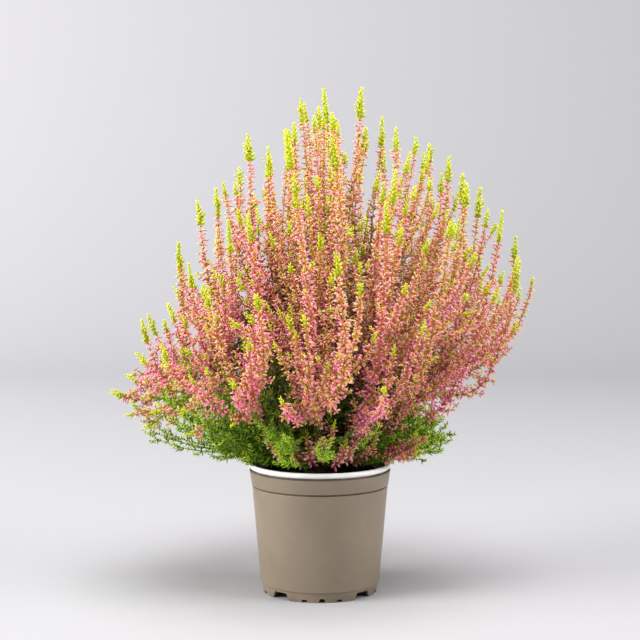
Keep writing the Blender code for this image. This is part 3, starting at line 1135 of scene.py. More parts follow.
@dataclass
class Stem:
    """A stem that leaves one line of growth at fork and is on its own line by settled."""

    start: Vector
    end: Vector
    fork: float
    settled: float
    ease: float = 2.0  # 1 for an even drift, more for one that is fast at first

    def place(self, t: float) -> Vector:
        """Place on the disc at growth t."""
        share = min(max((t - self.fork) / (self.settled - self.fork), 0.0), 1.0)
        return self.start.lerp(self.end, 1.0 - (1.0 - share) ** self.ease)

    def point(self, t: float) -> Vector:
        """Point at growth t."""
        return GROWTH.flow(self.place(t), t)

    def way(self, first: float, last: float, steps: int = 40) -> Way:
        """Line of the stem between two growths."""
        spots = [self.point(first + (last - first) * i / steps) for i in range(steps + 1)]
        return Way(np.array([tuple(spot) for spot in spots]))


def cad_points(node: str) -> Array:
    """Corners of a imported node.

    Args:
        node: its name.

    Returns:
        One in each row, in metres.
    """
    vertices = frame["nodes"][node].data.vertices
    flat = np.zeros(len(vertices) * 3)
    vertices.foreach_get("co", flat)
    return flat.reshape(-1, 3)


class Reach:
    """Finds how far a packed stem has grown along its line."""

    STEPS = 70
    STEP = 0.004
    NEAR = 0.0026  # how close a packed corner has to be to the line

    def __init__(self, node: str) -> None:
        """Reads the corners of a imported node.

        Args:
            node: its name.
        """
        corners = cad_points(node)
        self.tree = kdtree.KDTree(len(corners))
        for i, corner in enumerate(corners):
            self.tree.insert(corner, i)
        self.tree.balance()

    def end_of(self, stem: Stem, fallback: float) -> float:
        """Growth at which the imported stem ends.

        Args:
            stem: the stem that is looked for.
            fallback: the growth if none is found.

        Returns:
            The growth of its end.
        """
        for step in range(self.STEPS):
            t = 1.0 - step * self.STEP
            if self.tree.find(stem.point(t))[2] < self.NEAR:
                return t
        return fallback


@dataclass(frozen=True)
class Layout:
    """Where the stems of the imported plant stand."""

    limb_count: int = 8
    limb_place: float = 0.66
    limb_turn: float = 0.3
    spray_count: int = 24
    spray_turn: float = 1.1
    shoot_count: int = 62
    reach: float = 1.03
    limb_end: float = 0.075
    limb_fork: float = 0.095
    stem_settled: float = 0.30
    side_fork: float = 0.07
    side_settle: float = 0.34


@dataclass(frozen=True)
class FineHabit:
    """How finer, mostly shorter shoots stand in the gaps."""

    count: int = 280
    turn: float = 2.4
    reach: float = 0.99  # of the disc
    crest_count: int = 9  # more of them near the middle
    crest_turn: float = 0.7
    crest_reach: float = 0.36
    gap: float = 0.045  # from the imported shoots' places
    flank: float = 0.4  # x beyond which a place is at one of the plant's sides
    inward: Pair = (0.7, 1.0)
    inward_beside: Pair = (0.45, 0.80)
    outward: Pair = (0.98, 1.05)
    fork: float = 0.72  # share of the growth at which flowers start
    fork_luck: Pair = (0.0, 0.10)
    least: float = 0.68  # share of a full shoot's growth
    least_right: float = 0.82
    ease: float = 1.15
    start_luck: Pair = (-0.09, 0.06)
    tip: float = 0.56  # length of its tip, as a share of a packed shoot's


@dataclass(frozen=True)
class LowHabit:
    """How small flowering shoots stand just over the rim."""

    count: int
    turn: Pair  # the angle that they point at, and its spread
    growth: Pair  # least and greatest
    reach: Pair = (0.72, 1.02)
    start: float = 0.8  # share of their limb's place
    fork: float = 0.11
    settle: float = 0.07
    first: Pair = (0.13, 0.20)
    tip: float = 0.007


@dataclass(frozen=True)
class SpikeHabit:
    """How short upright flowering stems stand among the low leaves."""

    count: int = 17
    turn_luck: Pair = (-0.2, 0.2)
    reach: Pair = (0.034, 0.052)
    post_inset: float = 0.005  # of those at the posts
    post_shortfall: float = 0.004
    root: Pair = (0.004, 0.1070)  # distance from the axis, and height
    middle_height: float = 0.1120
    heights: Pair = (0.138, 0.160)
    lean: Pair = (0.004, 0.007)


LAYOUT = Layout()
FINE = FineHabit()
LOW = (LowHabit(26, (-0.7, 0.95), (0.10, 0.16)), LowHabit(18, (-0.15, 0.50), (0.14, 0.22)))
SPIKES = SpikeHabit()
TIP_LENGTHS = (0.013, 0.029)
MIDDLE_LUCK = 0.5


@dataclass(frozen=True)
class Hollow:
    """A dark open place among the leaves at the plant's front."""

    centre: Triple = (0.016, -0.070, 0.143)
    radii: Triple = (0.020, 0.034, 0.013)

    def holds(self, points: Array) -> Array:
        """Which of the points lie in it."""
        return np.sum(((points - self.centre) / self.radii) ** 2, axis=-1) < 1.0


@dataclass(frozen=True)
class Clearing:
    """Where nothing hangs, so that the rim's front stays bare with a line of dark peat behind it."""

    rim: float = 0.0605
    level: float = 0.1105
    slope: float = 0.167  # of the sight over the rim
    margin: float = 0.005
    width: float = 0.050
    back: float = 0.012

    def holds(self, points: Array) -> Array:
        """Looks for points that lie in it.

        Args:
            points: one in each row.

        Returns:
            Which of them do.
        """
        x, y, z = points.T
        beyond = y + np.sqrt(np.clip(self.rim**2 - x**2, 0.0, None))
        low = z < self.level - self.slope * beyond + self.margin
        return low & (np.abs(x) < self.width) & (y < -self.back)


@dataclass(frozen=True)
class Posts:
    """Where single flowering spikes stand behind the rim's front, with no leaves before them."""

    turns: tuple[float, ...] = (-2.62, -1.78, -1.16, -0.52)
    reach: float = 0.053
    width: float = 0.0066
    height: float = 0.140

    def holds(self, points: Array) -> Array:
        """Looks for points that lie before a spike.

        Args:
            points: one in each row.

        Returns:
            Which of them do.
        """
        x, y, z = points.T
        found = np.zeros(len(points), dtype=bool)
        for turn in self.turns:
            beside = np.abs(x - self.reach * math.cos(turn)) < self.width
            found |= beside & (y < self.reach * math.sin(turn) + self.width)
        return found & (z < self.height)


HOLLOW = Hollow()
CLEARING = Clearing()
POSTS = Posts()


def meets(points: Array, *places: Hollow | Clearing | Posts) -> bool:
    """Whether a line comes into one of the places that are kept open."""
    return any(place.holds(points).any() for place in places)


@dataclass
class Shoot:
    """One flowering stem and how far it has grown."""

    stem: Stem
    first: float
    last: float
    tip: float  # metres of fresh leaves at its end
    main: bool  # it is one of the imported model's
    green: float = 0.0  # growth over which it bears leaves before its florets


@dataclass
class Spray:
    """The shoots that stand for one packed spray."""

    number: int
    limb: int
    leader: Stem
    shoots: list[Shoot] = field(default_factory=list)
    spikes: list[Way] = field(default_factory=list)  # short upright ones by the rim


class Plan:
    """All stems of the plant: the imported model's own, and finer ones between them."""

    def __init__(self, seed: int) -> None:
        """Sets out every stem.

        Args:
            seed: of its luck.
        """
        self.luck = np.random.default_rng(seed)
        self.limbs = [Vector((0.0, 0.0))]
        for i in range(LAYOUT.limb_count - 1):
            angle = 2.0 * math.pi * i / (LAYOUT.limb_count - 1) + LAYOUT.limb_turn
            self.limbs.append(Vector((math.cos(angle), math.sin(angle))) * LAYOUT.limb_place)
        self.places = sunflower(LAYOUT.shoot_count, 0.0, LAYOUT.reach)
        self.centres = sunflower(LAYOUT.spray_count, LAYOUT.spray_turn, LAYOUT.reach)
        cells: list[list[Vector]] = [[] for _ in self.centres]
        for place in self.places:
            cells[nearest(place, self.centres)].append(place)
        self.sprays: list[Spray] = []
        for number, (centre, cell) in enumerate(zip(self.centres, cells), start=1):
            leader_place = cell.pop(nearest(centre, cell))
            limb = nearest(leader_place, self.limbs)
            leader = Stem(self.limbs[limb], leader_place, LAYOUT.limb_fork, LAYOUT.stem_settled)
            self.sprays.append(Spray(number, limb, leader))
            self._grow_main(self.sprays[-1], cell)
        self._grow_fine()
        for habit in LOW:
            self._grow_low(habit)
        self._grow_spikes()

    def _spray_at(self, spot: Vector) -> Spray:
        """The spray that a place on the disc belongs to."""
        return self.sprays[nearest(spot, self.centres)]

    def _grow_main(self, spray: Spray, cell: list[Vector]) -> None:
        """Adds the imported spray's own shoots, each as long as it is there.

        Args:
            spray: takes the shoots.
            cell: places of its side shoots.
        """
        place = spray.leader.end
        first = GROWTH.flowers_from(place)
        reach = Reach(f"shoot_tip_{spray.number:02d}")
        last = reach.end_of(spray.leader, GROWTH.full(place, MIDDLE_LUCK))
        tip = draw(self.luck, TIP_LENGTHS)
        spray.shoots.append(Shoot(spray.leader, first, last, tip, True, GROWTH.green(place)))
        reach = Reach(f"flower_spray_{spray.number:02d}")
        fork = first + LAYOUT.side_fork
        for place in cell:
            stem = Stem(spray.leader.place(fork), place, fork, fork + LAYOUT.side_settle)
            last = reach.end_of(stem, GROWTH.full(place, MIDDLE_LUCK) - 0.02)
            tip = draw(self.luck, TIP_LENGTHS)
            spray.shoots.append(Shoot(stem, fork, last, tip, True, GROWTH.green(place)))

    def _grow_fine(self) -> None:
        """Adds finer, mostly shorter shoots in the gaps."""
        spots = sunflower(FINE.count, FINE.turn, LAYOUT.reach * FINE.reach)
        spots += sunflower(FINE.crest_count, FINE.crest_turn, FINE.crest_reach)
        for spot in spots:
            if min((spot - other).length for other in self.places) <= FINE.gap:
                continue
            beside = abs(spot.x) > FINE.flank
            inward = draw(self.luck, FINE.inward_beside if beside else FINE.inward)
            parent = self._spray_at(spot * inward)
            start = GROWTH.flowers_from(spot)
            fork = start * FINE.fork + draw(self.luck, FINE.fork_luck)
            least = FINE.least_right if spot.x > FINE.flank else FINE.least
            last = GROWTH.full(spot, 1.0) * draw(self.luck, (least, 1.0))
            outward = spot * draw(self.luck, FINE.outward)
            stem = Stem(parent.leader.place(fork), outward, fork, last, FINE.ease)
            right = max(0.0, spot.x * 0.8 - spot.y * 0.5)
            lower = 0.12 * right - 0.05 * max(0.0, -spot.x)
            first = max(fork, start + draw(self.luck, FINE.start_luck) - lower)
            tip = draw(self.luck, TIP_LENGTHS) * FINE.tip
            self._spray_at(spot).shoots.append(Shoot(stem, first, last, tip, False, GROWTH.green(spot)))

    def _grow_low(self, habit: LowHabit) -> None:
        """Adds small flowering shoots just over the rim.

        Args:
            habit: how many, and where.
        """
        for _ in range(habit.count):
            angle = float(self.luck.normal(*habit.turn))
            spot = Vector((math.cos(angle), math.sin(angle))) * draw(self.luck, habit.reach)
            spray = self._spray_at(spot)
            start = self.limbs[spray.limb] * habit.start
            stem = Stem(start, spot, habit.fork, habit.fork + habit.settle)
            first = draw(self.luck, habit.first)
            last = first + draw(self.luck, habit.growth)
            if not meets(stem.way(first, last).points, CLEARING, POSTS):
                spray.shoots.append(Shoot(stem, first, last, habit.tip, False))

    def _grow_spikes(self) -> None:
        """Adds short upright flowering stems that stand among the low leaves."""
        for i in range(SPIKES.count + len(POSTS.turns)):
            angle = i * GOLDEN_ANGLE + draw(self.luck, SPIKES.turn_luck)
            reach = draw(self.luck, SPIKES.reach)
            post = i - SPIKES.count
            if post >= 0:
                angle, reach = POSTS.turns[post], POSTS.reach - SPIKES.post_inset
            spot = Vector((math.cos(angle), math.sin(angle)))
            out = np.array((*spot, 0.0))
            root = out * SPIKES.root[0] + np.array((0.0, 0.0, SPIKES.root[1]))
            middle = out * reach + np.array((0.0, 0.0, SPIKES.middle_height))
            height = draw(self.luck, SPIKES.heights) - (SPIKES.post_shortfall if post >= 0 else 0.0)
            end = out * (reach + draw(self.luck, SPIKES.lean)) + np.array((0.0, 0.0, height))
            self._spray_at(spot).spikes.append(Way(bow(root, middle, end, 16)))


# Pieces


class Plastic(IntEnum):
    """The pot's plastics, by their place among its materials."""

    TAUPE = 0
    WHITE = 1
    # painted shade in the rim's recess and the collar's groove, not a plastic of its own
    RECESS_SHADE = 2


Corner = tuple[float, float, float, Plastic]  # radius, height, how rounded, material
Knot = tuple[float, float, Plastic]  # radius, height, material


@dataclass(frozen=True)
class Notch:
    """A cut in the foot ring, which narrows upwards."""

    low: float  # its width at the floor
    top: float
    height: float


@dataclass
class PotPiece:
    """The thin nursery pot: taupe outside, white inside and over its rolled rim, with painted shade in the
    recess under the rim and in the collar's groove.
    """

    palette: Palette
    height: float = 0.1105
    wall: float = 0.0012
    roll: float = 0.0021
    rim_radius: float = 0.0605
    steps: int = 108  # round the pot
    roll_steps: int = 12
    roll_opening: float = math.radians(50.0)
    round_steps: int = 3
    round_share: float = 0.45  # of an edge that a rounding may take
    feet: int = 4
    foot_turn: float = math.radians(2.0)
    foot_radius: float = 0.0472
    foot_depth: float = 0.006  # from its middle to where the notches end
    side_turn: float = math.radians(17.5)
    wide: Notch = Notch(0.0190, 0.0130, 0.0062)
    middle: Notch = Notch(0.0062, 0.0034, 0.0034)
    side: Notch = Notch(0.0056, 0.0040, 0.0024)
    below: float = 0.4  # share of its height that a notch's cutter reaches under the floor
    holes: int = 6
    hole_ring: float = 0.0340
    hole_radius: float = 0.0036
    hole_steps: int = 24
    hole_heights: Pair = (0.004, 0.012)
    shade_band_width: float = 0.005  # no band of painted recess shade is wider
    sharp: float = math.radians(28.0)

    def profile(self) -> list[Knot]:
        """The pot's section.

        Returns:
            Its steps, from the inside floor round to the outside floor.
        """
        wall, white, recess_shade, taupe = self.wall, Plastic.WHITE, Plastic.RECESS_SHADE, Plastic.TAUPE
        inside: list[Corner] = [
            (0.0, 0.0089, 0.0, white),
            (0.0508 - wall, 0.0089, 0.0016, white),
            (0.0577 - wall, 0.0906, 0.0010, white),
            (0.0570, 0.0922, 0.0010, white),
            (0.0586, 0.1034, 0.0008, white),
        ]
        outside: list[Corner] = [
            # The first six steps carry painted shade: the recess under the rolled rim and the groove above
            # the body.
            (0.0586, 0.1060, 0.0, recess_shade),
            (0.0588, 0.1055, 0.0003, recess_shade),
            (0.0600, 0.1048, 0.0005, recess_shade),
            (0.0582, 0.0922, 0.0003, recess_shade),
            (0.0570, 0.0918, 0.0002, recess_shade),
            (0.0570, 0.0911, 0.0002, recess_shade),
            (0.0577, 0.0906, 0.0003, taupe),
            (0.0508, 0.0086, 0.0006, taupe),
            (0.0494, 0.0078, 0.0003, taupe),
            (0.0483, 0.0, 0.0004, taupe),
            (0.0461, 0.0, 0.0004, taupe),
            (0.0472, 0.0077, 0.0010, taupe),
            (0.0, 0.0077, 0.0, taupe),
        ]
        return [*self._rounded(inside), *self._lip(), *self._rounded(outside)]

    def _lip(self) -> list[Knot]:
        """The rolled rim's part of the section.

        Returns:
            Its steps, from inside to outside.
        """
        radius, height = self.rim_radius - self.roll, self.height - self.roll
        made: list[Knot] = []
        for step in range(self.roll_steps + 1):
            turned = (math.pi + 2.0 * self.roll_opening) * step / self.roll_steps
            angle = math.pi + self.roll_opening - turned
            x, z = radius + self.roll * math.cos(angle), height + self.roll * math.sin(angle)
            made.append((x, z, Plastic.WHITE))
        return made

    def _rounded(self, corners: list[Corner]) -> list[Knot]:
        """Rounds off each corner by its own radius.

        Args:
            corners: of a part of the section.

        Returns:
            The same part in finer steps.
        """
        made: list[Knot] = []
        for i, (radius, height, soft, kind) in enumerate(corners):
            if soft == 0.0 or i in (0, len(corners) - 1):
                made.append((radius, height, kind))
                continue
            here = Vector((radius, height))
            ends = []
            for other in (corners[i - 1], corners[i + 1]):
                way = Vector(other[:2]) - here
                ends.append(here + way.normalized() * min(soft, way.length * self.round_share))
            for step in range(self.round_steps + 1):
                t = step / self.round_steps
                spot = ends[0].lerp(here, t).lerp(here.lerp(ends[1], t), t)
                made.append((spot.x, spot.y, kind))
        return made

    def _turned(self) -> bpy.types.Object:
        """Turns the section into a closed shell.

        Returns:
            The uncut pot.
        """
        section = self.profile()
        points: list[Triple] = []
        rows: list[list[int]] = []
        for radius, height, _ in section:
            if radius == 0.0:
                rows.append([len(points)] * self.steps)
                points.append((0.0, 0.0, height))
                continue
            rows.append(list(range(len(points), len(points) + self.steps)))
            for step in range(self.steps):
                angle = 2.0 * math.pi * step / self.steps
                points.append((radius * math.sin(angle), -radius * math.cos(angle), height))
        faces, kinds = [], []
        for row, (low, high) in enumerate(zip(rows, rows[1:])):
            kind = min(section[row][2], section[row + 1][2])
            # A long face between shaded steps is the collar itself, which gets no painted shade.
            if kind == Plastic.RECESS_SHADE and section[row][1] - section[row + 1][1] > self.shade_band_width:
                kind = Plastic.TAUPE
            for step in range(self.steps):
                after = (step + 1) % self.steps
                face = (low[step], low[after], high[after], high[step])
                faces.append(tuple(dict.fromkeys(face)))
                kinds.append(int(kind))
        mesh = bpy.data.meshes.new("nursery_pot")
        mesh.from_pydata(points, [], faces)
        for finish in (TAUPE, WHITE, RECESS_SHADE):
            mesh.materials.append(self.palette.get(finish))
        mesh.polygons.foreach_set("material_index", kinds)
        return new_object("nursery_pot_body", mesh)

    def _cutters(self) -> bpy.types.Collection:
        """Notches under the foot and drain holes in the floor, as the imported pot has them.

        Returns:
            The solids that are cut away.
        """
        group = bpy.data.collections.new("pot_cutters")
        bpy.context.scene.collection.children.link(group)
        for foot in range(self.feet):
            turn = self.foot_turn + math.pi / 2.0 * foot
            self._notch(turn, self.middle, group)
            self._notch(turn - self.side_turn, self.side, group)
            self._notch(turn + self.side_turn, self.side, group)
            self._notch(turn + math.pi / 4.0, self.wide, group)
        for hole in range(self.holes):
            self._hole(2.0 * math.pi / self.holes * hole, group)
        return group

    def _hole(self, turn: float, group: bpy.types.Collection) -> None:
        """Adds the cutter of one drain hole.

        Args:
            turn: where it stands round the floor.
            group: takes the cutter.
        """
        x, y = self.hole_ring * math.cos(turn), self.hole_ring * math.sin(turn)
        count = self.hole_steps
        points = []
        for height in self.hole_heights:
            for step in range(count):
                angle = 2.0 * math.pi / count * step
                spot = (x + self.hole_radius * math.cos(angle), y + self.hole_radius * math.sin(angle))
                points.append((*spot, height))
        sides = [(i, (i + 1) % count, count + (i + 1) % count, count + i) for i in range(count)]
        self._cutter(points, [tuple(reversed(range(count))), tuple(range(count, 2 * count)), *sides], group)

    def _notch(self, turn: float, notch: Notch, group: bpy.types.Collection) -> None:
        """Adds the cutter of one notch, which starts below the floor.

        Args:
            turn: where it stands round the foot.
            notch: its sizes.
            group: takes the cutter.
        """
        points = []
        widest = notch.low + (notch.low - notch.top) * self.below
        for level, width in ((-self.below, widest), (1.0, notch.top)):
            for across, along in ((-1, -1), (1, -1), (1, 1), (-1, 1)):
                reach = -self.foot_radius + along * self.foot_depth
                spot = Vector((across * width / 2.0, reach, level * notch.height))
                spot.rotate(Matrix.Rotation(turn, 3, "Z"))
                points.append(tuple(spot))
        faces = [(3, 2, 1, 0), (4, 5, 6, 7), (0, 1, 5, 4), (1, 2, 6, 5), (2, 3, 7, 6), (3, 0, 4, 7)]
        self._cutter(points, faces, group)

    def _cutter(
        self, points: list[Triple], faces: list[tuple[int, ...]], group: bpy.types.Collection
    ) -> None:
        """Adds a closed solid that is cut away from the pot.

        Args:
            points: its corners.
            faces: corners of each face.
            group: takes it.
        """
        mesh = bpy.data.meshes.new("cutter")
        mesh.from_pydata(points, [], faces)
        mesh.materials.append(self.palette.get(TAUPE))
        group.objects.link(bpy.data.objects.new("cutter", mesh))

    def build(self) -> None:
        """Cuts the shell and places it."""
        body, group = self._turned(), self._cutters()
        cut = body.modifiers.new("cut", "BOOLEAN")
        cut.operation = "DIFFERENCE"
        cut.operand_type = "COLLECTION"
        cut.collection = group
        mesh = bpy.data.meshes.new_from_object(body.evaluated_get(bpy.context.evaluated_depsgraph_get()))
        for thing in [*group.objects, body]:
            bpy.data.objects.remove(thing, do_unlink=True)
        bpy.data.collections.remove(group)
        mesh.shade_smooth()
        mesh.set_sharp_from_angle(angle=self.sharp)
        place_piece("nursery_pot", mesh, Slot.POT, "pot")


@dataclass
class PeatPiece:
    """The peat filling, with an uneven crumbly top."""

    palette: Palette
    seed: int
    height: float = 0.1035
    dome: float = 0.0030
    edge: float = 0.0579
    hole: float = 0.0054
    hole_floor: float = 0.0755
    rings: int = 34
    steps: int = 108
    lower: tuple[Pair, ...] = ((0.0567, 0.0922), (0.0562, 0.0906), (0.0494, 0.0092), (0.0, 0.0092))
    bumps: tuple[Pair, ...] = ((0.0016, 90.0), (0.0009, 330.0), (0.0005, 900.0))  # height, and pitch
    layer: float = 0.3  # where the bumps' noise is read
    crumbs: int = 700
    crumb_area: Pair = (0.02, 1.0)
    crumb_reach: float = 0.985
    crumb_rise: float = 0.8
    crumb_size: Pair = (0.0009, 0.0030)
    sunk: float = 0.0006

    def top(self, x: float, y: float) -> float:
        """The crumbly surface.

        Args:
            x: metres from the axis.
            y: the same.

        Returns:
            Its height there.
        """
        spot = Vector((x, y, self.layer))
        height = self.height - self.dome * (math.hypot(x, y) / self.edge) ** 2
        for size, pitch in self.bumps:
            height += size * noise.noise(spot * pitch)
        return height

    def _filling(self, thicket: Thicket) -> None:
        """Adds the closed body, turned round the axis with a plain hole for the stem.

        Args:
            thicket: takes it.
        """
        points: list[Triple] = []
        rows = [(0.0, self.hole_floor), (self.hole, self.hole_floor)]
        width = self.edge - self.hole
        rows += [(self.hole + width * i / self.rings, None) for i in range(self.rings + 1)]
        for radius, height in (*rows, *self.lower):
            for step in range(self.steps):
                angle = 2.0 * math.pi * step / self.steps
                x, y = radius * math.cos(angle), radius * math.sin(angle)
                points.append((x, y, self.top(x, y) if height is None else height))
        first, second = bands(len(points) // self.steps, self.steps)
        faces = np.concatenate((first[1:].reshape(-1, 3), second[:-1].reshape(-1, 3)))
        flat = np.full(len(points), 0.5)
        thicket.take(np.array(points), faces[:, ::-1], PEAT, flat, flat, flat)

    def build(self) -> None:
        """Makes the filling and scatters crumbs over it."""
        luck = np.random.default_rng(self.seed)
        thicket = Thicket()
        self._filling(thicket)
        distance = self.edge * self.crumb_reach * np.sqrt(luck.uniform(*self.crumb_area, self.crumbs))
        angle = luck.uniform(0.0, 2.0 * math.pi, self.crumbs)
        x, y = distance * np.cos(angle), distance * np.sin(angle)
        z = np.array([self.top(a, b) for a, b in zip(x, y)]) - self.sunk
        aims = luck.normal(size=(self.crumbs, 3)) + (0.0, 0.0, self.crumb_rise)
        sizes = luck.uniform(*self.crumb_size, self.crumbs)
        tones = luck.uniform(size=self.crumbs)
        thicket.copies(CRUMB, PEAT, np.stack((x, y, z), axis=1), aims, sizes, tones, tones)
        thicket.make(self.palette, "peat", Slot.PEAT, "compost")


@dataclass
class CrownPiece:
    """The trunk and its bare limbs."""

    palette: Palette
    limbs: list[Vector]
    foot: float = 0.0760
    head: float = 0.1095
    trunk_radii: Pair = (0.0050, 0.0050 * 0.82)
    trunk_sides: int = 18
    trunk_rough: float = 0.18
    trunk_bend: float = 0.6
    limb_root: float = 0.1055
    limb_radii: Pair = (0.0030, 0.0013)
    limb_sides: int = 12
    limb_rough: float = 0.28
    limb_shares: Triple = (0.8, 1.0, 1.3)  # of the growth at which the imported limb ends
    root_share: float = 0.05  # of the way out to the limb's seat
    bend_share: float = 0.55
    spacing: float = 0.0012
    curve_steps: int = 10

    def _curve(self, handles: list[Vector]) -> Way:
        """A smooth line through all handles.

        Args:
            handles: places in their order.

        Returns:
            The line.
        """
        spots = []
        padded = [handles[0] * 2.0 - handles[1], *handles, handles[-1] * 2.0 - handles[-2]]
        for a, b, c, d in zip(padded, padded[1:], padded[2:], padded[3:]):
            for step in range(self.curve_steps):
                t = step / self.curve_steps
                square = (a * 2.0 - b * 5.0 + c * 4.0 - d) * t**2
                cube = (b * 3.0 - a - c * 3.0 + d) * t**3
                spots.append((b * 2.0 + (c - a) * t + square + cube) * 0.5)
        spots.append(handles[-1])
        return Way(np.array([tuple(spot) for spot in spots]))

    def build(self) -> None:
        """Makes the crown."""
        thicket = Thicket()
        foot, head = Vector((0.0, 0.0, self.foot)), Vector((0.0, 0.0, self.head))
        trunk = self._curve([foot, foot.lerp(head, self.trunk_bend), head])
        thicket.tube(
            trunk, self.trunk_radii, BARK, self.trunk_sides, self.spacing, rough=self.trunk_rough
        )
        for limb in self.limbs:
            before, seat, beyond = (
                GROWTH.flow(limb, LAYOUT.limb_end * share) for share in self.limb_shares
            )
            root = Vector((seat.x * self.root_share, seat.y * self.root_share, self.limb_root))
            level = (root.z + seat.z) / 2.0
            bend = Vector((seat.x * self.bend_share, seat.y * self.bend_share, level))
            way = self._curve([root, bend, before, seat, beyond])
            thicket.tube(
                way, self.limb_radii, BARK, self.limb_sides, self.spacing, rough=self.limb_rough
            )
        thicket.make(self.palette, "bark_crown", Slot.BARK, "woody_crown")


@dataclass(frozen=True)
class LeafHabit:
    """How leaves stand on a stem."""

    spacing: float
    length: float
    lift: float  # radians from straight out towards the stem's tip
    girth: float
    turn_spread: float = 0.25
    lift_spread: float = 0.18
    size_luck: Pair = (0.75, 1.15)
    taper: float = 0.35
    ageing: float = 0.35
    tones: Pair = (0.65, 0.35)  # share of the tone that all have, and of each leaf's own


@dataclass(frozen=True)
class TwigHabit:
    """How side twigs stand on a leafy stem."""

    every: float  # metres between them
    reach: Pair  # shortest and longest
    low: float  # age at the stem's root
    bare: Pair = (0.004, 0.002)  # without twigs at the stem's root and end
    jitter: float = 0.3
    turn_luck: Pair = (-0.4, 0.4)
    root_aim: float = 0.7  # along the stem, for one outwards
    end_aim: Triple = (0.55, 0.6, 0.75)  # outwards, along the stem, up
    ageing: float = 0.35
    age_luck: Pair = (-0.1, 0.2)


@dataclass(frozen=True)
class BunchHabit:
    """How extra leafy stems fan out from a limb, more of them on one side of the plant."""

    count: int
    more_left: float
    more_right: float
    place: Pair  # distance of their places from the disc's middle
    fork: Pair
    settle: float
    last: Pair
    steps: int
    twigs: TwigHabit
    lower_right: float = 0.0
    turn: Pair = (-0.45, 0.45)


@dataclass(frozen=True)
class BasalHabit:
    """How low shoots arch out of the crown, to fill the pot's mouth or to hang over its rim."""

    counts: tuple[int, int, int]  # at the left, the middle and the right
    reach: Pair  # distance of their ends from the axis
    height: Pair  # level of their ends
    turn: Pair = (-0.5, 0.5)
    all_round: float = 7.0  # how much wider they turn on the middle limb
    root: Pair = (0.004, 0.1060)  # distance from the axis, and height
    middle_height: Pair = (0.112, 0.118)
    middle_reach: float = 0.7
    end_reach: float = 1.08
    steps: int = 12
    skipped: int = 3  # steps that the crown hides


